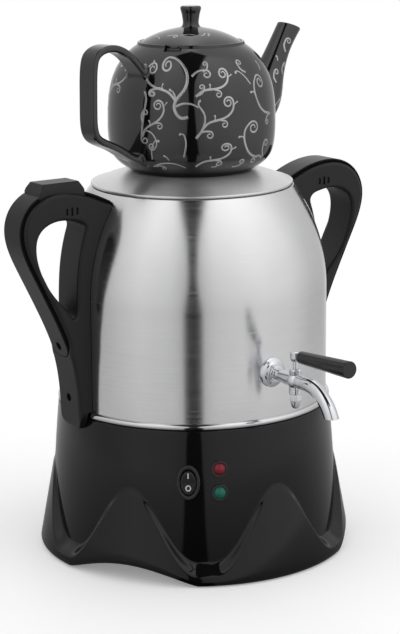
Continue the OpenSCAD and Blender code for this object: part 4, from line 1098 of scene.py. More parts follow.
@dataclass
class Handles:
    """Two moulded loop handles, each with a strip let into its spine, and the thumb button.

    The points of the spine and of the eye are distances out from the urn's side and up from its
    lip. Those of the spine's foot go up from the base's top instead.
    """

    urn: Urn
    base: Base
    width: float = 30.0
    edge: float = 2.8
    strip_w: float = 23.0
    strip_t: float = 2.4
    groove: float = 1.3
    groove_depth: float = 4.0
    lip_drop: float = 2.6
    lip_fade: float = 14.0
    strip_end: float = 47.4
    end_round: float = 8.0
    foot_round: float = 14.6
    screw_seat: Pair = (4.5, 12.0)
    screw_head_r: float = 2.8
    screw_r: float = 1.6
    screw_play: float = 0.25
    seat_gap: float = 0.25
    button_reach: float = 18.0
    button_l: float = 37.0
    button_top_l: float = 30.0
    button_w: float = 23.0
    button_rise: float = 13.2
    button_slopes: Pair = (6.5, 4.5)
    button_taper: float = 2.5
    collar_h: float = 1.4
    slot_drop: float = 7.4
    slots: Pairs = ((16.9, 4.8), (12.7, 6.2), (8.4, 4.8))
    spine_top: Pairs = (
        (-22, -3.6), (-2, 4.9), (13, 8.2), (26, 8.2), (40, 3.4), (50, -6.5), (54, -20),
        (51.5, -35), (44.5, -51), (32, -76), (20.5, -101),
    )
    spine_foot: Pairs = ((14.2, 44), (11.2, 28), (9.8, 12), (9, -1), (6.5, -7.5), (1.5, -9.5))
    eye: Pairs = (
        (19, -13.8), (9.6, -15.2), (3.4, -17.4), (0.9, -20.8), (1.9, -26), (4, -33), (6.1, -42),
        (7.8, -53), (8.8, -66), (9.2, -78), (9.9, -83.6), (12, -86.5), (14.6, -83.8), (18.6, -78.6),
        (28, -67.6), (37.4, -51), (41.4, -34), (39, -22.4), (30.4, -15.6),
    )

    @cached_property
    def spine(self) -> np.ndarray:
        """Line of the spine, from the urn's lip down to the tongue over the base."""
        top = [(self.urn.radius + x, self.urn.lip_z + z) for x, z in self.spine_top]
        foot = [(self.urn.radius + x, self.base.height + z) for x, z in self.spine_foot]
        return spline(top + foot, 150)

    def lip(self) -> np.ndarray:
        """Line of the lips beside the strip, which lie a little lower than the strip does."""
        line = self.spine
        t = np.clip((line[:, 1] - self.base.height - self.strip_end) / self.lip_fade, 0, 1)
        return line - sideways(line) * (self.lip_drop * t * t * (3 - 2 * t))[:, None]

    def clearance(self) -> Shell:
        """Everything that a handle lies against, grown by the seat gap."""
        grow = self.seat_gap
        foot = self.base.plain_r(self.base.height - 10) + 2 * grow
        ring = self.base.height + self.urn.ring_h + grow
        row = [(0, -20), (foot, -20), (foot, ring), (self.urn.radius + grow, ring)]
        row += self.urn.dome(-grow)
        return turned([*row, (0, row[-1][1])], 256)

    def band(self, depth: float, width: float, end_z: float, corner: float, round_r: float,
             proud: float = 0.0) -> Shell:
        """Strip along the spine, whose lower end has round corners.

        Args:
            depth: how far it goes in.
            width: its width.
            end_z: height of its lower end.
            corner: radius of the corners there.
            round_r: radius of its outer edges.
            proud: how far it stands out of the spine.

        Returns:
            The strip.
        """
        line = self.spine
        out = sideways(line)
        rows: list[tuple[Sequence[float], Sequence[float], float]] = []
        for at, way in zip(line[:-1], out[:-1]):
            if at[1] < end_z + corner - 1e-6:
                break
            rows.append((at, way, width / 2))
        # The spine's lower half by height, to find where each step of the round end lies
        order = np.argsort(line[:, 1])[:70]
        height, steps = line[order, 1], 18
        for k in range(1, steps + 1):
            a = math.pi / 2 * k / steps
            z = end_z + corner - corner * math.sin(a)
            x, *way = (np.interp(z, height, row[order]) for row in (line[:, 0], *out.T))
            rows.append(((x, z), way, width / 2 - corner + corner * math.cos(a)))
        rings = []
        for at, way, half in rows:
            r = min(round_r, half * 0.9)
            section = [(-half, -depth), (half, -depth), (half, proud - r)]
            section += arc(half - r, proud - r, r, (22.5, 45, 67.5, 90))
            section += arc(r - half, proud - r, r, (90, 112.5, 135, 157.5, 180))
            ring = [(at[0] + d * way[0], y, at[1] + d * way[1]) for y, d in section]
            rings.append(np.array(ring))
        return loft(rings)

    def screw_holes(self) -> list[Shell]:
        """Ways for the two screws, with the recesses of their heads."""
        head, shank = (2 * (r + self.screw_play) for r in (self.screw_head_r, self.screw_r))
        outside = self.urn.radius + 60
        made = []
        for rise, seat in zip(self.urn.screw_rise, self.screw_seat):
            place = slid(0, 0, self.base.height + rise) @ spun(90, "Y")
            made.append(rod(head, self.urn.radius + seat, outside, 48).placed(place))
            made.append(rod(shank, 60, outside, 32).placed(place))
        return made

    def foot_corners(self) -> list[Shell]:
        """What comes off the lower end so that its corners are round."""
        half, r = self.width / 2, self.foot_round
        low = self.base.height + self.spine_foot[-1][1] - 0.2
        corner = arc(half - r, low + r, r, np.linspace(-90, 0, 12))
        row = [(half + 2, low - 3), (half - r, low - 3), *corner, (half + 2, low + r)]
        place = spun(90, "Z") @ spun(90, "X")
        return [prism([(side * x, z) for x, z in row], 60, 160).placed(place) for side in (-1, 1)]

    def button_way(self, play: float, tall: float, edge: float, lift: float = 0.0) -> Shell:
        """Way for the button with this much play, whose middle lies this far above the lip."""
        way = block(self.button_l + play, self.button_w + play, tall, edge)
        return way.placed(slid(self.urn.radius + self.button_reach, 0, self.urn.lip_z + lift))

    @staticmethod
    def mould(name: str, shell: Shell, cutters: Sequence[Shell], side: Side, finish: Finish,
              stands_for: Sequence[str]) -> None:
        """Makes a piece of a handle, which is built on the right and mirrored for the left.

        Args:
            name: the piece's name.
            shell: the piece before it is cut.
            cutters: what is cut out of it.
            side: the side that it is for.
            finish: its finish.
            stands_for: the CAD nodes that it is shown in place of.
        """
        thing = carve(as_object(name, shell), *cutters)
        if side is Side.LEFT:
            thing.data.transform(Matrix.Scale(-1, 4, (1, 0, 0)))
            thing.data.flip_normals()
        dress(thing, finish, Body.SAMOVAR, stands_for, 38)

    def loop(self, side: Side) -> None:
        """Builds one loop."""
        lip, r = self.urn.lip_z, self.urn.radius
        inner = self.urn.neck_r - 8
        back = [(inner, lip - 14), (inner + 14, lip - 60), (inner + 22, self.base.height - 9)]
        outer = np.vstack([self.lip()[::-1], back])
        eye = spline([(r + x, lip + z) for x, z in self.eye], 110, True)
        cutters = [
            self.clearance(),
            self.band(self.groove_depth, self.strip_w + 2 * self.groove,
                      self.base.height + self.strip_end - 0.4, self.end_round + self.groove,
                      SHARP, 3.0),
            *self.foot_corners(),
            *self.screw_holes(),
        ]
        for x, tall in self.slots:
            for y in (-self.width / 2, self.width / 2):
                place = slid(r + x, y, lip - self.slot_drop)
                cutters.append(block(2.1, 3.0, tall, 0.7).placed(place))
        if side is Side.LEFT:
            cutters.append(self.button_way(3.2, 30, 1.5, 7))
        shell = slab(anticlockwise(outer), anticlockwise(eye), self.width, self.edge)
        self.mould(f"{side.value}_loop", shell, cutters, side, SATIN_PHENOLIC,
                   [f"{side.value}_handle"])

    def strip(self, side: Side) -> None:
        """Builds the strip that lies in a loop's spine."""
        end = self.base.height + self.strip_end
        shell = self.band(self.strip_t, self.strip_w, end, self.end_round, 0.6)
        cutters = [self.clearance(), *self.screw_holes()]
        if side is Side.LEFT:
            cutters.append(self.button_way(0.8, 60, 1.2))
        self.mould(f"{side.value}_strip", shell, cutters, side, SPINE_PHENOLIC,
                   [f"{side.value}_cover"])

    def seam(self, side: Side) -> None:
        """Builds the matt black fill in the groove round a strip, which paints the groove's shadow.
        """
        end, wide = self.base.height + self.strip_end, self.strip_w + 2 * self.groove - 0.04
        shell = self.band(self.groove_depth - 0.1, wide, end - 0.38,
                          self.end_round + self.groove, 0.3, -0.9)
        inside = self.band(self.groove_depth + 1, self.strip_w + 0.04, end, self.end_round, SHARP,
                           3.0)
        cutters = [self.clearance(), inside]
        if side is Side.LEFT:
            cutters.append(self.button_way(3, 60, 1.2))
        # The fill is painted shade: a black piece where the groove is only in shadow
        self.mould(f"{side.value}_seam", shell, cutters, side, SEAM_SHADE_FILL, ())

    def button(self) -> None:
        """Builds the thumb button with its sloping ends."""
        foot, top = self.urn.lip_z + 0.2, self.urn.lip_z + self.button_rise
        long, short, wide = self.button_l / 2, self.button_top_l / 2, self.button_w / 2
        shoulder, cheek = (top - slope for slope in self.button_slopes)
        narrow = wide - self.button_taper
        side = [(-long, foot), (long, foot), (long, shoulder), (short, top), (-short, top),
                (-long, shoulder)]
        end = [(-wide, foot), (wide, foot), (wide, cheek), (narrow, top), (-narrow, top),
               (-wide, cheek)]
        middle = -self.urn.radius - self.button_reach
        cap = as_object("button_cap", prism(side, -wide, wide).placed(spun(90, "X")))
        across = spun(90, "Z") @ spun(90, "X")
        carve(cap, prism(end, -long - 1, long + 1).placed(across), keep=True)
        soften(cap, 1.1, 4)
        cap.data.transform(Matrix.Translation((middle * MM, 0, 0)))
        collar = block(self.button_l + 2.4, self.button_w, self.collar_h, 1.0)
        merge(cap, as_object("collar", collar.placed(slid(middle, 0, foot + self.collar_h / 2))))
        dress(cap, SATIN_PHENOLIC, Body.BUTTON, ["thumb_button"], 50)

    def build(self) -> None:
        """Builds both loops, both strips with the painted shadow in their seams, and the button."""
        for make in (self.loop, self.strip, self.seam):
            for side in Side:
                make(side)
        self.button()


# ---------------- tap


@dataclass
class Tap:
    """Chromed plug tap with a black lever grip."""

    urn: Urn
    valve_y: float = 129.3
    valve_r: float = 6.5
    neck_r: float = 4.75
    neck_top: float = 4.4
    plug_r: float = 3.75
    shank_r: float = 5.0
    shank_y: float = 81.5
    bore: float = 5.2
    flange_y: float = 106.0
    way_end: float = 137.8
    rose_r: float = 11.0
    spout_r: float = 5.2
    spout_wall: float = 1.4
    bend_r: float = 32.0
    bend: float = 78.0
    bend_steps: int = 26
    straight: float = 4.0
    drop: float = 18.4
    stem_r: float = 1.75
    sleeve_t: float = 0.3
    gland_low: float = 4.45
    gland_top: float = 8.65
    hub_low: float = 14.4
    hub_h: float = 7.0
    hub_r: float = 4.2
    spigot_r: float = 2.0
    lever_tilt: float = 2.5
    grip_l: float = 57.0
    grip_r0: float = 4.5
    grip_r1: float = 6.1

    def outwards(self, y: float) -> Matrix:
        """Place on the tap's axis at a distance from the urn's axis, with +Z pointing out."""
        return slid(0, -y, self.urn.tap_z) @ spun(90, "X")

    def upright(self, z: float = 0.0) -> Matrix:
        """Place on the valve's axis at a height above the tap's axis."""
        return slid(0, -self.valve_y, self.urn.tap_z + z)

    @staticmethod
    def chrome(thing: Thing, stands_for: Sequence[str], body: Body = Body.SAMOVAR) -> None:
        """Dresses a piece in chromium."""
        dress(thing, CHROMED_BRASS, body, stands_for, 40)

    def rose(self) -> None:
        """Builds the round plate against the urn."""
        r, s = self.rose_r, self.shank_r
        row = rounded([
            (s + 0.1, 0), (r, 0), (r, 1.7, 0.4), (r - 0.7, 2.4, 0.4), (r - 2.6, 3.3, 1.0),
            (s + 2.6, 4.1, 1.0), (s + 1.8, 4.6, 0.4), (s + 1.8, 5.6, 0.3), (s + 0.1, 5.6),
        ], True)
        thing = as_object("tap_rose", turned(row, 96).placed(self.outwards(self.urn.radius - 1)))
        wall = self.urn.radius + 0.1
        carve(thing, turned([(0, 0), (wall, 0), (wall, 300), (0, 300)], 360))
        self.chrome(thing, ["tap_escutcheon"])

    def body(self) -> None:
        """Builds the shank, the ball of the valve and the socket of the spout."""
        s, f, v, way = self.shank_r, self.flange_y, self.valve_y, self.outwards(0)
        shank = rounded([
            (0, self.shank_y), (s, self.shank_y, 0.3), (s, f), (s + 1, f, 0.2),
            (s + 1, f + 1.6, 0.4), (s - 0.6, f + 1.6, 0.3), (s - 0.9, f + 2.2), (s + 0.4, v - 4),
            (s + 0.4, v), (0, v),
        ])
        ball = [(x, min(self.neck_top, z)) for x, z in arc(0, 0, self.valve_r, range(90, -91, -6))]
        end, r = self.way_end, self.spout_r
        socket = rounded([(0, v), (r, v), (r, end, 0.4), (0, end)])
        neck = [(0, -self.valve_r), (self.neck_r, -self.valve_r), (self.neck_r, self.neck_top),
                (0, self.neck_top)]
        thing = as_object("tap_valve", turned(shank, 96).placed(way))
        for row, place in ((ball, self.upright()), (socket, way), (neck, self.upright())):
            other = as_object("part", turned(row, 96).placed(place))
            step = thing.modifiers.new("add", "BOOLEAN")
            step.operation, step.solver, step.object = "UNION", "EXACT", other
            settle(thing)
            bpy.data.objects.remove(other)
        bore = rod(self.bore, self.urn.radius - 22, end + 3, 48)
        plug = rod(2 * self.plug_r + 0.1, -8, 6)
        carve(thing, bore.placed(way), plug.placed(self.upright()))
        soften(thing, 0.35, 3, 40)
        self.chrome(thing, ["tap_body"])

    def spout(self) -> None:
        """Builds the bent spout tube, cut level at its mouth."""
        r, start = self.spout_r, self.way_end
        path = [(start + y, 0.0, 0.0) for y in (0.02, self.straight / 3, self.straight * 2 / 3)]
        for k in range(self.bend_steps + 1):
            a = math.radians(self.bend * k / self.bend_steps)
            y = start + self.straight + self.bend_r * math.sin(a)
            path.append((y, -self.bend_r * (1 - math.cos(a)), a))
        skins = []
        for radius in (r, r - self.spout_wall):
            row = oval_row(2 * radius, 2 * radius, 56)
            skins.append([
                np.column_stack([row[:, 0], -(y + row[:, 1] * math.sin(a)),
                                 self.urn.tap_z + z + row[:, 1] * math.cos(a)])
                for y, z, a in path
            ])
        thing = as_object("tap_spout_tube", loft(skins[0] + skins[1][::-1], wrap=True))
        low = self.urn.tap_z - self.drop
        carve(thing, block(60, 90, 40).placed(slid(0, -start - 40, low - 20)))
        soften(thing, 0.4, 3, 40)
        self.chrome(thing, ["tap_spout"])

    def trims(self) -> None:
        """Builds the gland nut above the valve and the hexagon cap with its acorn below it."""
        p, bore = self.plug_r, self.stem_r + 0.1
        nut = rounded([
            (bore, 0), (p + 0.7, 0, 0.3), (p + 1.2, 3.4, 0.5), (p + 0.5, 3.45, 0.1),
            (p + 0.5, 4.2, 0.3), (bore, 4.2),
        ], True, 4)
        thing = as_object("tap_gland", turned(nut, 72).placed(self.upright(self.gland_low)))
        self.chrome(thing, ["tap_gland_nut"])
        below = self.upright(-self.valve_r) @ spun(180, "X")
        collar = rounded([(0, 0.05), (p + 1.2, 0.05, 0.3), (p + 1.2, 3.4, 0.5), (0, 3.4)])
        acorn = spline([(p + 0.1, 8), (p - 0.2, 10.4), (p - 0.9, 12.6), (p - 2.2, 13.9),
                        (0, 14.1)], 16)
        hexagon = as_object("hexagon", prism(arc(0, 0, p + 1.1, range(0, 360, 60)), 3, 8.4)
                            .placed(below))
        tip = as_object("acorn", turned([(0, 8), *acorn.tolist()], 72).placed(below))
        cap = as_object("tap_cap", turned(collar, 72).placed(below))
        merge(cap, soften(hexagon, 0.4), tip)
        self.chrome(cap, ["tap_bottom_cap"])

    def lever(self) -> None:
        """Builds the lever's hub and its grip, and the sleeve on the stem below them."""
        r, h, spigot_r = self.hub_r, self.hub_h, self.spigot_r
        hub = rounded([(0, 0), (r - 0.9, 0, 0.3), (r, 2, 0.6), (r, h - 0.6, 0.8),
                       (r - 1.4, h, 0.8), (0, h + 0.2)])
        along = slid(0, -self.valve_y, self.urn.tap_z + self.hub_low + h / 2)
        along = along @ spun(90 - self.lever_tilt, "X")
        spigot = turned(rounded([(0, r - 0.8), (spigot_r, r - 0.8), (spigot_r, r + 23, 0.4),
                                 (0, r + 23)]), 48)
        shell = turned(hub, 72).placed(self.upright(self.hub_low)).joined(spigot.placed(along))
        self.chrome(as_object("lever_boss", shell), ["lever_hub"], Body.TAP_LEVER)
        low, high = self.gland_top + 0.15, self.hub_low
        inner, outer = self.stem_r + 0.02, self.stem_r + self.sleeve_t
        sleeve = turned([(inner, low), (outer, low), (outer, high), (inner, high)], 48)
        self.chrome(as_object("stem_sleeve", sleeve.placed(self.upright())), (), Body.TAP_LEVER)
        start, end, bore = r + 0.1, r + self.grip_l + 0.1, spigot_r + 0.05
        grip = rounded([(bore, start), (self.grip_r0 - 1.2, start, 0.3),
                        (self.grip_r0, start + 2.4, 0.6), (self.grip_r1, end - 1.2),
                        (self.grip_r1, end, 1.9), (0, end + 0.05)])
        grip = [(0, start + 25), (bore, start + 25), *grip]
        thing = as_object("lever_handle", turned(grip, 96).placed(along))
        dress(thing, GRIP_PHENOLIC, Body.TAP_LEVER, ["lever_grip"], 40)

    def build(self) -> None:
        """Builds the whole tap."""
        self.rose()
        self.body()
        self.spout()
        self.trims()
        self.lever()


# ---------------- teapot


@dataclass
class Teapot:
    """Glazed teapot, built in its own frame: its foot at the origin and its spout along +X."""

    seat_z: float = 288.6
    turn: float = 10.8
    height: float = 95.4
    radius: float = 62.6
    foot_r: float = 45.5
    rim_r: float = 39.5
    wall: float = 3.6
    cover_r: float = 37.0
    cover_rise: float = 10.6
    cover_wall: float = 3.0
    knob_h: float = 15.6
    knob_r: float = 7.7
    strap: Pair = (15.4, 5.2)
    root_spread: float = 0.15
    root_reach: float = 22.0
    pour_wall: float = 3.0
    mouth_wall: float = 1.8
    pour_steps: int = 60
    pour_root: int = 22
    pour_inside: int = 13
    root_round: float = 4.5
    notch_turn: float = -154.0
    belly: float = 0.43
    # The wall: share of the way from the foot's or the rim's radius to the full one, and height
    shape: Pairs = (
        (-0.07, 0.0), (0.26, 0.036), (0.57, 0.078), (0.79, 0.127), (0.93, 0.205),
        (0.993, 0.315), (1, 0.41), (0.968, 0.56), (0.87, 0.69), (0.665, 0.81), (0.34, 0.915),
        (0.02, 0.975),
    )
    # The spout: distance, height, radius, lean in degrees and stretch
    pour_path: tuple[tuple[float, ...], ...] = (
        (40, 31, 15, 15, 1), (54, 34, 16.5, 24, 1), (66.5, 40, 17.4, 36, 1),
        (78.5, 51, 15.2, 53, 1), (86.5, 66, 11.2, 60, 1), (97, 84.5, 8.8, 58, 1.02),
        (107.6, 98.8, 8.4, 70, 1.2),
    )
    strap_path: Pairs = (
        (42, 66), (50, 75), (57, 83), (64, 90), (72, 95.2), (80, 98), (87.5, 98.5), (95, 97),
        (101.4, 92.6), (104.3, 85), (105.4, 70), (105.7, 52), (104.8, 38.5), (101.5, 32),
        (93.5, 27), (83, 22.6), (73, 17.2), (65, 13.2), (57, 11.4), (47, 12),
    )

    def place(self) -> Matrix:
        """Where the teapot's own frame stands."""
        return slid(0, 0, self.seat_z) @ spun(self.turn)

    @cached_property
    def spine(self) -> np.ndarray:
        """Steps along the spout: distance, height, radius, lean and stretch."""
        return spline(self.pour_path, self.pour_steps)

    @property
    def cover_z(self) -> float:
        """Height at which the lid rests on the gallery."""
        return self.height - 2.38

    def dome_z(self, r: float, inset: float = 0.0) -> float:
        """Height of the lid's dome above its rest, at a distance from the axis."""
        rho = (self.cover_rise**2 + self.cover_r**2) / (2 * self.cover_rise)
        return 2 + self.cover_rise - rho + math.sqrt((rho - inset) ** 2 - r * r)

    def outline(self, inset: float = 0.0) -> np.ndarray:
        """Section of the pot's wall.

        Args:
            inset: how far inside the outer surface it lies.

        Returns:
            Radius and height from the foot up to the rim.
        """
        points = []
        for share, z in self.shape:
            start = self.foot_r if z < self.belly else self.rim_r
            points.append((lerp(start, self.radius, share) - inset, self.height * z))
        return spline(points, 90)

    @cached_property
    def skin(self) -> np.ndarray:
        """Section of the pot's outer surface."""
        return self.outline()

    def skin_r(self, z: Any) -> Any:
        """Radius of the pot's outer surface at a height or at several."""
        return np.interp(z, self.skin[:, 1], self.skin[:, 0])

    def surface(self, turn: float, z: float, proud: float = 0.0) -> np.ndarray:
        """Point on the pot's wall at an angle in degrees and a height, or this far outside it."""
        r, a = float(self.skin_r(z)) + proud, math.radians(turn)
        return np.array([r * math.cos(a), r * math.sin(a), z])

    def pour_surface(self, turn: float, step: float) -> np.ndarray:
        """Point on the spout's wall at an angle in degrees and a step along it."""
        steps = range(self.pour_steps)
        x, z, r, lean, stretch = (float(np.interp(step, steps, row)) for row in self.spine.T)
        a, b = math.radians(lean), math.radians(turn)
        s = r * stretch * math.cos(b)
        return np.array([x + s * math.sin(a), r * math.sin(b), z - s * math.cos(a)])

    def cover_surface(self, turn: float, inwards: float) -> np.ndarray:
        """Point on the lid's dome at an angle in degrees and a distance in from its edge."""
        r, a = self.cover_r - inwards, math.radians(turn)
        return np.array([r * math.cos(a), r * math.sin(a), self.cover_z + self.dome_z(r)])

    def pot(self) -> None:
        """Builds the pot with its gallery, notch and strainer."""
        place, foot_r, rim_r, top = self.place(), self.foot_r, self.rim_r, self.height
        gallery_r, ledge_r, gallery_z = self.cover_r + 0.4, self.cover_r - 4.5, top - 2.4
        outside = [tuple(q) for q in self.skin]
        inside = [tuple(q) for q in self.outline(self.wall) if 11 < q[1] < gallery_z - 6]
        row = rounded([(0, 2.2), (foot_r - 9, 2.2, 0.6), (foot_r - 8, 0, 0.8), outside[0]],
                      steps=4)[:-1]
        row += outside
        row += rounded([
            outside[-1], (rim_r, top, 0.9), (gallery_r, top, 0.9), (gallery_r, gallery_z, 0.4),
            (ledge_r, gallery_z, 1.0), (ledge_r, gallery_z - 5.5), inside[-1],
        ])[1:-1]
        row += inside[::-1]
        row += rounded([inside[0], (foot_r - self.wall + 4, 8, 5), (0, 8)], steps=6)[1:]
        notch = spun(self.notch_turn) @ slid(self.cover_r + 5, 0, top + 0.4)
        cutters = [block(12, 13, 9.6, 3).placed(place @ notch)]
        strainer = ((0, 0), (-5.6, 0), (5.6, 0), (-2.8, 5), (2.8, 5), (-2.8, -5), (2.8, -5))
        for y, z in strainer:
            hole = slid(40, y, 34 + z) @ spun(90, "Y")
            cutters.append(rod(4.4, 0, 40, 32).placed(place @ hole))
        thing = carve(as_object("pot_body", turned(row, 256).placed(place)), *cutters)
        dress(thing, BLACK_GLAZE, Body.TEAPOT, ["teapot_pot"], 38)

    def foot_of(self, point: np.ndarray, along: np.ndarray) -> np.ndarray:
        """Where a line meets the pot's wall.

        Args:
            point: a point outside the wall.
            along: the direction in which the line comes nearer to the pot.

        Returns:
            Angle round the pot in degrees and height.
        """
        low, high = 0.0, 60.0
        for _ in range(40):
            middle = (low + high) / 2
            q = point + along * middle
            inside = math.hypot(q[0], q[1]) < self.skin_r(q[2])
            low, high = (low, middle) if inside else (middle, high)
        q = point + along * high
        return np.array([math.degrees(math.atan2(q[1], q[0])), q[2]])

    def fillet(self, ring: np.ndarray, inner: np.ndarray, steps: int) -> list[np.ndarray]:
        """Rings that lead from the pot's wall into a limb.

        Args:
            ring: the limb's ring where the fillet ends.
            inner: a ring nearer to the pot, which tells the way into it.
            steps: how many rings the fillet has.

        Returns:
            The rings, from the wall outwards.
        """
        along = (inner - ring) / np.linalg.norm(inner - ring, axis=1)[:, None]
        feet = np.array([self.foot_of(p, d) for p, d in zip(ring, along)])
        scale = np.array([math.radians(1) * self.radius, 1.0])
        flat = feet * scale
        loop = np.roll(flat, -1, axis=0) - np.roll(flat, 1, axis=0)
        out = np.stack([loop[:, 1], -loop[:, 0]], axis=1)
        out /= np.maximum(np.linalg.norm(out, axis=1), 1e-9)[:, None]
        if np.mean(np.sum(out * (flat - flat.mean(axis=0)), axis=1)) < 0:
            out = -out
        wide = (flat + self.root_round * out) / scale
        base = np.array([self.surface(a, z, -0.15) for a, z in wide])
        corner = np.array([self.surface(a, z) for a, z in feet])
        rings = []
        for k in range(steps):
            t = k / steps
            rings.append((1 - t) ** 2 * base + 2 * t * (1 - t) * corner + t * t * ring)
        return rings

    def pour(self) -> None:
        """Builds the hollow spout, which grows out of the pot and flares at its mouth."""
        last, lip = self.pour_steps - 1, self.mouth_wall / 2
        b = np.linspace(0, 2 * math.pi, 64, endpoint=False)

        def ring(i: int, inset: float, slip: float = 0.0) -> np.ndarray:
            """Section of the spout at a step along it, this far in and pushed on."""
            x, z, r, lean, stretch = self.spine[i]
            lean = math.radians(lean)
            s = (r - inset) * stretch * np.cos(b)
            x, z = x + slip * math.cos(lean), z + slip * math.sin(lean)
            return np.stack([x + s * math.sin(lean), -(r - inset) * np.sin(b),
                             z - s * math.cos(lean)], axis=1)

        rings = self.fillet(ring(self.pour_root, 0), ring(0, 0), 9)
        rings += [ring(i, 0) for i in range(self.pour_root, last + 1)]
        for a in map(math.radians, (30, 60, 90, 120, 150)):
            rings.append(ring(last, lip * (1 - math.cos(a)), lip * math.sin(a)))
        for i in range(last, self.pour_inside - 1, -1):
            share = min(1, (last - i) / 6)
            rings.append(ring(i, lerp(self.mouth_wall, self.pour_wall, share)))
        thing = as_object("pour_spout", loft(rings).placed(self.place()))
        dress(thing, BLACK_GLAZE, Body.TEAPOT, ["teapot_spout"], 40)

    def handle(self) -> None:
        """Builds the strap handle, with a fillet at each root."""
        wide, thick = self.strap
        path = spline(self.strap_path, 110)
        out = sideways(path)
        corners = ((-wide / 2, 0), (wide / 2, 0), (wide / 2, thick), (-wide / 2, thick))
        row = np.array(rounded([(*c, 1.9) for c in corners], True))
        # The strap is widest at its roots, where it comes near the pot
        steps = np.linalg.norm(np.diff(path, axis=0), axis=1)
        gone = np.concatenate([[0], np.cumsum(steps)])
        away = np.array([self.outside(np.array([[x, 0, z]])) for x, z in path])
        from_root = [min(abs(g - gone[away < 3]).min(), self.root_reach) for g in gone]
        spread = 1 + self.root_spread * (1 - np.array(from_root) / self.root_reach) ** 2
        rings = [
            np.column_stack([p[0] - row[:, 1] * n[0], row[:, 0] * q, p[1] - row[:, 1] * n[1]])
            for p, n, q in zip(path, out, spread)
        ]
        reach = np.array([self.outside(r) for r in rings])
        first = int(np.argmax(reach > 2.5))
        last = len(rings) - 1 - int(np.argmax(reach[::-1] > 2.5))
        skin = self.fillet(rings[first], 2 * rings[first] - rings[first + 1], 7)
        skin += rings[first : last + 1]
        skin += self.fillet(rings[last], 2 * rings[last] - rings[last - 1], 7)[::-1]
        thing = as_object("pot_strap", loft(skin).placed(self.place() @ spun(180)))
        dress(thing, BLACK_GLAZE, Body.TEAPOT, ["teapot_handle"], 40)

    def outside(self, ring: np.ndarray) -> float:
        """Least distance of a ring's points outside the pot's wall."""
        return float(np.min(np.hypot(ring[:, 0], ring[:, 1]) - self.skin_r(ring[:, 2])))

    def cover(self) -> None:
        """Builds the teapot's own lid with its knob."""
        r, k, place = self.cover_r, self.knob_r, self.place()
        dome = [(q, self.dome_z(q)) for q, _ in arc(0, 0, r, range(4, 80, 4))]
        low = self.cover_rise + 1.7
        top = low + self.knob_h
        stem = spline([
            (k + 1.2, low - 0.15), (k - 0.7, low + 0.5), (k - 1.8, low + 3), (k - 1.5, low + 6.5),
            (k - 0.8, low + 10.5), (k, top - 2.2), (k - 0.15, top - 0.8), (k - 1.2, top),
            (k - 3.2, top + 0.1), (0, top + 0.25),
        ], 44)
        outer = r - 4.9
        inner = outer - self.cover_wall
        row = [(q, self.dome_z(q, self.cover_wall)) for q in (outer * k / 5 for k in range(5))]
        row += rounded([
            row[-1], (inner, 1.5, 1), (inner, -6, 0.8), (outer, -6, 0.8), (outer, 0, 0.3),
            (r, 0, 0.5), (r, 1.8, 0.8), dome[1],
        ], steps=4)[1:]
        row += [q for q in dome[2:] if q[0] > k + 1.6] + [tuple(q) for q in stem]
        shell = turned(row, 192).placed(place @ slid(0, 0, self.cover_z))
        tab = block(5.4, 7.2, 1.8, 1.4).placed(
            place @ spun(self.notch_turn) @ slid(r - 1.3, 0, self.cover_z + 0.9)
        )
        thing = as_object("pot_cover", shell)
        carve(thing, rod(2, 80, 130, 24).placed(place @ slid(12, 0, 0)))
        merge(thing, soften(as_object("tab", tab), 0.4))
        dress(thing, BLACK_GLAZE, Body.TEAPOT_COVER, ["teapot_lid"], 40)

    def build(self) -> None:
        """Builds the pot, its spout, its handle and its lid."""
        self.pot()
        self.pour()
        self.handle()
        self.cover()


# Lines in a whole turn of a curl, and the share of its radius that it loses on its way
CURL_STEPS = 26
CURL_IN = 0.72


@dataclass(frozen=True)
class Stroke:
    """One brush stroke of a motif, in millimetres: points that it passes through, then its end.

    A curl is a radius, positive if it turns to the left, and a number of turns.
    """

    points: Pairs
    width: float = 1.1
    curl: Pair = (0.0, 0.0)
    ball: float = 0.0


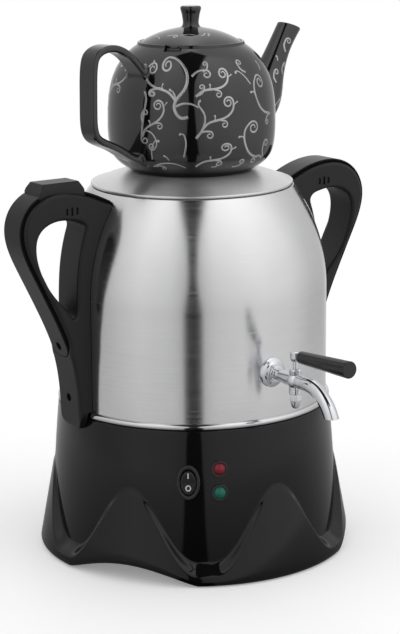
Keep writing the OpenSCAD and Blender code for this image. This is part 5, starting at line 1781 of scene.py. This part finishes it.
class Motif(Enum):
    """Motifs that the painted tendrils are put together from, each growing from its origin."""

    FROND = (
        Stroke(((0, 0), (5.4, 4), (13, 5), (20, 6.4), (25, 10.4), (26.2, 15)), 1.55,
               (4.1, 1.45)),
        Stroke(((26, 13), (30, 14.8)), 0.9, ball=0.8),
        Stroke(((8, 4.6), (10.6, 6.2), (10.4, 9)), 1.0, ball=0.9),
        Stroke(((13, 5), (17.4, 3.6)), 1.2, (-2.6, 1.1)),
    )
    HOOK = (
        Stroke(((4, -1), (0, 0), (-6, 4), (-9.5, 10.5), (-10.4, 17.5), (-8.6, 22.6),
                (-4.5, 26)), 1.6, (-4.9, 1.4)),
        Stroke(((-10.2, 13.6), (-12, 17), (-15.4, 16.8)), 1.1, ball=1.1),
    )
    CROOK = (
        Stroke(((9, -3.4), (4, -4), (0, 0), (-1, 5), (1.6, 10.4), (6, 15.6), (8.4, 22), (7.6, 28),
                (3.6, 33.4), (-2.4, 36.8), (-8.6, 37.8)), 2.1, (5.2, 1.4)),
        Stroke(((0.2, 4), (5, 6), (12, 5.6), (16.6, 3.2)), 1.6),
        Stroke(((0, 9), (-2.4, 14.4), (-5.6, 16)), 1.2, ball=1.1),
    )
    CURL = (Stroke(((0, 0), (4, 2.6), (9, 2.4)), 1.3, (-2.6, 1.1)),)
    BUD = (Stroke(((0, 0), (1.4, 7), (1.2, 14), (-0.8, 17.4), (-3.2, 16.6)), 1.2, ball=1.1),)
    STALK = (Stroke(((0, 0), (4.8, 6.6), (6.5, 12.6), (5.3, 19), (2, 24.6), (3.6, 27.6)), 1.6,
                    ball=1.1),)
    TRAIL = (Stroke(((0, 0), (1.8, -4.8), (1, -13.6), (-0.2, -22.4), (-1.3, -31.4),
                     (-1.6, -36)), 1.5, (2.8, 1.1)),)
    SPRIG = (Stroke(((0, 0), (1.6, 2.2), (1.8, 5)), 1.0, ball=0.9),)
    WAVE = (Stroke(((0, 0), (4.6, 2.8), (11.5, 4.6), (18, 3.8), (24.5, 0)), 1.1),)


@dataclass(frozen=True)
class Spray:
    """A motif's place on a surface: its origin, its tilt in degrees to the left and its size."""

    motif: Motif
    along: float
    up: float
    tilt: float = 0.0
    size: float = 1.0
    mirrored: bool = False

    def line(self, stroke: Stroke) -> np.ndarray:
        """Middle line of one of the motif's strokes, in millimetres from the motif's origin."""
        row = spline(stroke.points, 6 * len(stroke.points))
        radius, turns = stroke.curl
        if radius:
            way = row[-1] - row[-2]
            way /= np.linalg.norm(way)
            left = np.array([-way[1], way[0]])
            middle, steps = row[-1] + radius * left, int(CURL_STEPS * turns)
            for t in (k / steps for k in range(1, steps + 1)):
                a = 2 * math.pi * turns * t * math.copysign(1, radius)
                x, y = -left * radius * (1 - CURL_IN * t)
                c, s = math.cos(a), math.sin(a)
                row = np.vstack([row, middle + (c * x - s * y, s * x + c * y)])
        if self.mirrored:
            row = row * [-1, 1]
        a = math.radians(self.tilt)
        turn = np.array([[math.cos(a), math.sin(a)], [-math.sin(a), math.cos(a)]])
        return self.size * row @ turn


Surface = Callable[[float, float], np.ndarray]


@dataclass
class Scrollwork:
    """Tendrils painted on the teapot in lustre.

    The far side repeats the near one, except for what lies further round than both.
    """

    teapot: Teapot
    proud: float = 0.08
    sunk: float = 0.1
    tip: float = 0.55
    weight: float = 1.25
    both: float = 150.0
    pot: tuple[Spray, ...] = (
        Spray(Motif.CROOK, -145.6, 50), Spray(Motif.FROND, -146, 58.4, -10, 1.12, True),
        Spray(Motif.CURL, -155, 66, 24, 0.95, True), Spray(Motif.SPRIG, -168, 82, 14, 0.8),
        Spray(Motif.SPRIG, -172, 80, 70, 0.8), Spray(Motif.FROND, -169.6, 31.5, 26, 0.97),
        Spray(Motif.HOOK, -166.6, 36, 196, 0.55), Spray(Motif.BUD, -163.4, 15, -14, 0.9, True),
        Spray(Motif.CURL, -169.4, 42, 72, 0.85), Spray(Motif.TRAIL, -169, 64),
        Spray(Motif.BUD, -140.4, 17.6), Spray(Motif.CURL, -131, 61.6, -120, 0.8, True),
        Spray(Motif.FROND, -132, 61), Spray(Motif.CURL, -134.6, 75, 8, 1.25),
        Spray(Motif.CURL, -126.4, 78, -112, 0.75, True), Spray(Motif.STALK, -132.2, 31.2),
        Spray(Motif.FROND, -128.4, 37, 8, 1.04), Spray(Motif.CURL, -131.8, 32.4, 6, 1.1),
        Spray(Motif.FROND, -132.4, 10.2, 4), Spray(Motif.HOOK, -74, 45.6, 6, 1.05),
        Spray(Motif.CURL, -90, 76, 112, 0.95), Spray(Motif.BUD, -88.6, 67.6, 44, 0.85),
        Spray(Motif.CURL, -68, 44.2, 42, 0.9, True), Spray(Motif.HOOK, -86, 14.8, 4, 1.05),
        Spray(Motif.CURL, -74, 13, 90, 1.3), Spray(Motif.CURL, -104, 8.4, -142, 0.95, True),
        Spray(Motif.CURL, -76, 12.4, 4, 1.1, True), Spray(Motif.WAVE, -164.2, 9.2),
        Spray(Motif.SPRIG, -151, 15, 68), Spray(Motif.CURL, -162, 9.2, -8, 0.7),
        Spray(Motif.WAVE, 172.6, 7.4, 8, 0.75), Spray(Motif.SPRIG, -121, 9.6, -60, 0.8),
        Spray(Motif.SPRIG, -70, 76, 20, 1.4),
    )
    pour: tuple[Spray, ...] = (
        Spray(Motif.CURL, -93, 46.2, 96, 1.1), Spray(Motif.CURL, -104, 33, 104, 0.9),
        Spray(Motif.CURL, -76, 38, 88, 0.85), Spray(Motif.CURL, -60, 30, 60, 0.8),
        Spray(Motif.WAVE, -78, 18, 66, 0.9), Spray(Motif.SPRIG, -66, 24, 40, 1.2),
        Spray(Motif.SPRIG, -120, 41.6, 60, 0.8),
    )
    cover: tuple[Spray, ...] = (
        Spray(Motif.WAVE, 150, 7, -6, 0.6), Spray(Motif.CURL, -176, 10.4, 6, 0.8),
        Spray(Motif.WAVE, -154, 12, 4, 0.5), Spray(Motif.SPRIG, -118, 12, -30, 1.2),
        Spray(Motif.SPRIG, -106, 11, -10),
    )

    def ribbon(self, stroke: Stroke, spray: Spray, surface: Surface, side: int) -> Shell:
        """Raised ribbon of a stroke on a surface.

        Args:
            stroke: the stroke.
            spray: where its motif is put.
            surface: the surface's point at a place along and up.
            side: 1 for the side that the spray is on, -1 for the other one.

        Returns:
            The ribbon.
        """
        def at(u: float, v: float) -> np.ndarray:
            """Point of the surface, on the side asked for."""
            p = surface(u, v)
            return p if side > 0 else p * [1, -1, 1]

        def frame_at(u: float, v: float) -> tuple[np.ndarray, np.ndarray, np.ndarray]:
            """Point of the surface and how far it moves for a unit along and a unit up."""
            h = 0.2
            per_u, per_v = at(u + h, v) - at(u - h, v), at(u, v + h) - at(u, v - h)
            return at(u, v), per_u / (2 * h), per_v / (2 * h)

        _, per_u, per_v = frame_at(spray.along, spray.up)
        scale = [np.linalg.norm(per_u), np.linalg.norm(per_v)]
        places = [spray.along, spray.up] + spray.line(stroke) / scale
        spots = [frame_at(u, v) for u, v in places]
        centre = np.array([p for p, _, _ in spots])
        out = np.array([np.cross(u, v) * side for _, u, v in spots])
        out /= np.linalg.norm(out, axis=1)[:, None]
        ahead = np.gradient(centre, axis=0)
        across = np.cross(out, ahead)
        across /= np.linalg.norm(across, axis=1)[:, None]
        share = np.linspace(0, 1, len(centre))
        taper = 1 - (1 - self.tip) * share**1.5
        half = self.weight * spray.size**0.5 * stroke.width / 2 * taper
        if stroke.ball:
            back = np.linalg.norm(centre - centre[-1], axis=1)
            swell = np.sqrt(np.clip(1 - ((back - stroke.ball) / stroke.ball) ** 2, 0, 1))
            half = np.maximum(np.where(back < stroke.ball, 0.2, half), swell * stroke.ball)
        low, side_up = -self.sunk, 0.6 * self.proud
        section = [(-1, low), (-0.75, side_up), (0, self.proud), (0.75, side_up), (1, low)]
        rings = [
            np.array([c + w * h * a + lift * n for w, lift in section])
            for c, a, n, h in zip(centre, across, out, half)
        ]
        return loft(rings)

    def paint(
        self, name: str, body: Body, areas: Sequence[tuple[tuple[Spray, ...], Surface]]
    ) -> None:
        """Builds the ribbons of some areas as one piece.

        Args:
            name: the piece's name.
            body: the body that carries it.
            areas: sprays and the surface that each lot lies on.
        """
        ribbons = [
            self.ribbon(stroke, spray, surface, side)
            for sprays, surface in areas for side in (1, -1) for spray in sprays
            if side > 0 or abs(spray.along) < self.both for stroke in spray.motif.value
        ]
        thing = as_object(name, ribbons[0].joined(*ribbons[1:]).placed(self.teapot.place()))
        dress(thing, PLATINUM_LUSTRE, body, (), 60)

    def build(self) -> None:
        """Paints the pot with its spout, and the lid."""
        pot = self.teapot
        self.paint("pot_tendrils", Body.TEAPOT,
                   ((self.pot, pot.surface), (self.pour, pot.pour_surface)))
        self.paint("cover_tendrils", Body.TEAPOT_COVER, ((self.cover, pot.cover_surface),))


# ---------------- studio


# Brightness that the top of a colour ramp stands for
BRIGHTEST = 2.0


@dataclass
class Studio:
    """Plain pale floor, a soft surround of light, and the camera."""

    view_turn: float = -34.242
    distance: float = 1461.1
    camera_z: float = 517.7
    pitch: float = 0.231
    roll: float = -0.451
    lens: float = 111.62
    sensor: float = 36.0
    shift_x: float = 0.0109
    near_m: float = 0.05
    far_m: float = 20.0
    floor_r: float = 700.0
    # Where the floor melts into the surround, as shares of its radius
    melt: Pair = (0.62, 0.98)
    paper: Pair = (0.94, 0.98)
    paper_grain: float = 900.0
    paper_glow: float = 0.24
    # Painted shade on the floor as mirrors meet it, darker towards the foot: its distances in
    # metres and its tones there
    painted_shade_m: Pair = (0.15, 0.6)
    painted_shade_tone: Pair = (0.42, 0.8)
    # Brightness of the surround by its angle from the camera's side, positive to the right
    round_light: Pairs = (
        (-180, 1.1), (-162, 0.75), (-150, 0.58), (-110, 0.6), (-78, 0.62), (-46, 0.87),
        (-20, 0.78), (-8, 0.62), (8, 0.66), (20, 0.82), (60, 0.97), (90, 0.9), (120, 0.66),
        (150, 0.6), (162, 0.75), (180, 1.1),
    )
    # Brightness by height, from straight down to straight up, as the sine of the elevation
    height_light: Pairs = (
        (-1.0, 0.5), (-0.4, 0.7), (-0.1, 0.93), (0.15, 1.0), (0.5, 1.18), (1.0, 1.5),
    )
    # Half the width of the dark gap behind the camera, as the sine of its angle, by that height
    gap: Pairs = (
        (-1.0, 0.2), (-0.25, 0.125), (-0.05, 0.085), (0.15, 0.055), (0.6, 0.075), (0.9, 0.18),
        (1.0, 0.22),
    )
    # Where the gap's edges lie, as shares of its half width, and what light is left in it
    gap_edge: Pair = (0.9, 1.3)
    gap_light: float = 0.02
    # Sine of the angle past the camera's side over which the gap ends
    gap_end: Pair = (0.1, 0.35)
    # The same dark gap, painted as shade into the floor as mirrors meet it: half its width in
    # degrees, and its tone
    gap_turn: float = 7.0
    painted_gap_tone: float = 0.03

    def camera(self) -> None:
        """Makes the camera at the object's own viewing angle."""
        c, s = math.cos(self.pitch), math.sin(self.pitch)
        right, up, ahead = Vector((1, 0, 0)), Vector((0, s, c)), Vector((0, c, -s))
        a = math.radians(self.roll)
        across = right * math.cos(a) + up * math.sin(a)
        upward = -right * math.sin(a) + up * math.cos(a)
        axes = Matrix((across, upward, -ahead)).transposed().to_4x4()
        data = bpy.data.cameras.new("camera")
        data.lens, data.sensor_width, data.sensor_fit = self.lens, self.sensor, "AUTO"
        data.shift_x = self.shift_x
        data.clip_start, data.clip_end = self.near_m, self.far_m
        thing = bpy.data.objects.new("camera", data)
        bpy.context.scene.collection.objects.link(thing)
        place = Matrix.Translation(Vector((0, -self.distance, self.camera_z)) * MM)
        thing.matrix_world = spun(self.view_turn) @ place @ axes
        bpy.context.scene.camera = thing

    @staticmethod
    def ramp(tree: Tree, source: Source, stops: Pairs, end: float) -> Source:
        """Reads a brightness off a list of stops.

        Args:
            tree: the tree that gets the nodes.
            source: the value to look up.
            stops: value and brightness of each stop, at most BRIGHTEST.
            end: the value of the last stop; the first one has the same below zero.

        Returns:
            The socket with the brightness.
        """
        share = add_node(tree, "MapRange", {"From Min": -end, "From Max": end}, {"Value": source})
        made = add_node(tree, "ValToRGB", {}, {"Fac": share})
        band = made.color_ramp
        while len(band.elements) > 1:
            band.elements.remove(band.elements[-1])
        for i, (value, light) in enumerate(stops):
            at = (value + end) / (2 * end)
            stop = band.elements[0] if i == 0 else band.elements.new(at)
            stop.position = at
            stop.color = (*[light / BRIGHTEST] * 3, 1)
        return add_node(tree, "Math", {"operation": "MULTIPLY", 1: BRIGHTEST}, {0: made})

    def bearing(self, tree: Tree, place: Source) -> tuple[Any, Source]:
        """Measures a place or a direction from the camera's side, which is fixed to the studio.

        Args:
            tree: the tree that gets the nodes.
            place: the place or direction.

        Returns:
            Its parts to the right, away and up, and its angle round from the camera's side.
        """
        seen = add_node(tree, "VectorRotate",
                        {"rotation_type": "Z_AXIS", "Angle": -math.radians(self.view_turn)},
                        {"Vector": place})
        parts = add_node(tree, "SeparateXYZ", {}, {"Vector": seen}).outputs
        back = add_node(tree, "Math", {"operation": "MULTIPLY", 1: -1.0}, {0: parts["Y"]})
        angle = add_node(tree, "Math", {"operation": "ARCTAN2"}, {0: parts["X"], 1: back})
        return parts, angle

    def surround(self) -> None:
        """Lights the scene from all round, and shows the camera plain white."""
        world = bpy.data.worlds.new("studio")
        bpy.context.scene.world = world
        tree = cleared(world)
        parts, angle = self.bearing(tree, add_node(tree, "TexCoord").outputs["Generated"])
        stops = tuple((math.radians(a), b) for a, b in self.round_light)
        round_it = self.ramp(tree, angle, stops, math.pi)
        up, wide = (self.ramp(tree, parts["Z"], row, 1.0) for row in (self.height_light, self.gap))
        aside = add_node(tree, "Math", {"operation": "ABSOLUTE"}, {0: parts["X"]})
        share = add_node(tree, "Math", {"operation": "DIVIDE"}, {0: aside, 1: wide})
        past = add_node(tree, "MapRange",
                        {"From Min": self.gap_end[0], "From Max": self.gap_end[1], "To Max": 2.0},
                        {"Value": parts["Y"]})
        clear = add_node(tree, "Math", {"operation": "ADD"}, {0: share, 1: past})
        open_sky = add_node(tree, "MapRange",
                            {"interpolation_type": "SMOOTHSTEP", "From Min": self.gap_edge[0],
                             "From Max": self.gap_edge[1], "To Min": self.gap_light},
                            {"Value": clear})
        lamps = add_node(tree, "Math", {"operation": "MULTIPLY"}, {0: round_it, 1: up})
        light = add_node(tree, "Math", {"operation": "MULTIPLY"}, {0: lamps, 1: open_sky})
        rays = add_node(tree, "LightPath").outputs["Is Camera Ray"]
        strength = add_node(tree, "Mix", {"data_type": "FLOAT", 3: 1.0}, {0: rays, 2: light})
        glow = add_node(tree, "Background", {"Color": (1, 1, 1, 1)}, {"Strength": strength})
        add_node(tree, "OutputWorld", {}, {"Surface": glow})

    def floor(self) -> None:
        """Builds the round pale floor, whose edge melts into the surround."""
        row = oval_row(2 * self.floor_r, 2 * self.floor_r, 128)
        flat = np.column_stack([row, np.zeros(len(row))])
        thing = as_object("floor", Shell(flat, [tuple(range(len(row)))]))
        made = bpy.data.materials.new("pale matt paper")
        tree = cleared(made)
        place = add_node(tree, "TexCoord").outputs["Object"]
        far = add_node(tree, "VectorMath", {"operation": "LENGTH"}, {0: place}).outputs["Value"]
        start, end = (share * self.floor_r * MM for share in self.melt)
        fade = add_node(tree, "MapRange",
                        {"interpolation_type": "SMOOTHSTEP", "From Min": start, "From Max": end},
                        {"Value": far})
        fibre = add_node(tree, "TexNoise", {"Scale": self.paper_grain, "Detail": 3.0},
                         {"Vector": place})
        tone = add_node(tree, "MapRange",
                        {"To Min": self.paper[0], "To Max": self.paper[1]},
                        {"Value": fibre})
        # Painted shade: what mirrors meet of the paper is darker round the foot, and darkest in the
        # painted gap
        near = add_node(tree, "MapRange",
                        {"From Min": self.painted_shade_m[0], "From Max": self.painted_shade_m[1],
                         "To Min": self.painted_shade_tone[0], "To Max": self.painted_shade_tone[1]},
                        {"Value": far})
        _, angle = self.bearing(tree, place)
        aside = add_node(tree, "Math", {"operation": "ABSOLUTE"}, {0: angle})
        dark = add_node(tree, "MapRange",
                        {"interpolation_type": "SMOOTHSTEP", "To Min": self.painted_gap_tone,
                         "From Min": math.radians(self.gap_turn - 1),
                         "From Max": math.radians(self.gap_turn + 1)},
                        {"Value": aside})
        mirrored = add_node(tree, "Math", {"operation": "MULTIPLY"}, {0: near, 1: dark})
        # The camera alone sees the paper as white as an exposure for dark objects makes it
        rays = add_node(tree, "LightPath").outputs["Is Camera Ray"]
        pale = add_node(tree, "Mix", {"data_type": "FLOAT"}, {0: rays, 2: mirrored, 3: tone})
        matt = add_node(tree, "BsdfDiffuse", {}, {"Color": pale})
        gain = add_node(tree, "Math", {"operation": "MULTIPLY", 1: self.paper_glow}, {0: rays})
        lift = add_node(tree, "Emission", {}, {"Strength": gain})
        paper = add_node(tree, "AddShader", {}, {0: matt, 1: lift})
        clear = add_node(tree, "BsdfTransparent")
        mixed = add_node(tree, "MixShader", {}, {0: fade, 1: paper, 2: clear})
        add_node(tree, "OutputMaterial", {}, {"Surface": mixed})
        thing.data.materials.append(made)
        thing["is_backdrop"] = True

    def build(self) -> None:
        """Builds the camera, the surround and the floor."""
        scene = bpy.context.scene
        scene.view_settings.view_transform = "Standard"
        self.camera()
        self.surround()
        self.floor()


def finish_nodes() -> None:
    """Gives the solids that show as they are their finishes."""
    for name, finish in NODE_FINISHES.items():
        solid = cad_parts[name]
        for place in solid.material_slots:
            place.material = finish.material()
        log.info("%s: solid shown with %s", name, finish.name)


def corners() -> list[list[float]]:
    """Lowest and highest corner of what is shown, as plain numbers."""
    return [[float(v) for v in corner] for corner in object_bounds()]


def main() -> None:
    """Builds the scene."""
    logging.basicConfig(level=logging.INFO, format="%(name)s %(message)s")
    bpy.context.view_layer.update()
    finish_nodes()
    base, urn = Base(), Urn()
    teapot = Teapot()
    handles, tap, tendrils = Handles(urn, base), Tap(urn), Scrollwork(teapot)
    for assembly in (base, urn, Lid(), handles, tap, teapot, tendrils, Studio()):
        assembly.build()
        log.info("%s is ready", type(assembly).__name__)


if __name__ == "__main__":
    main()
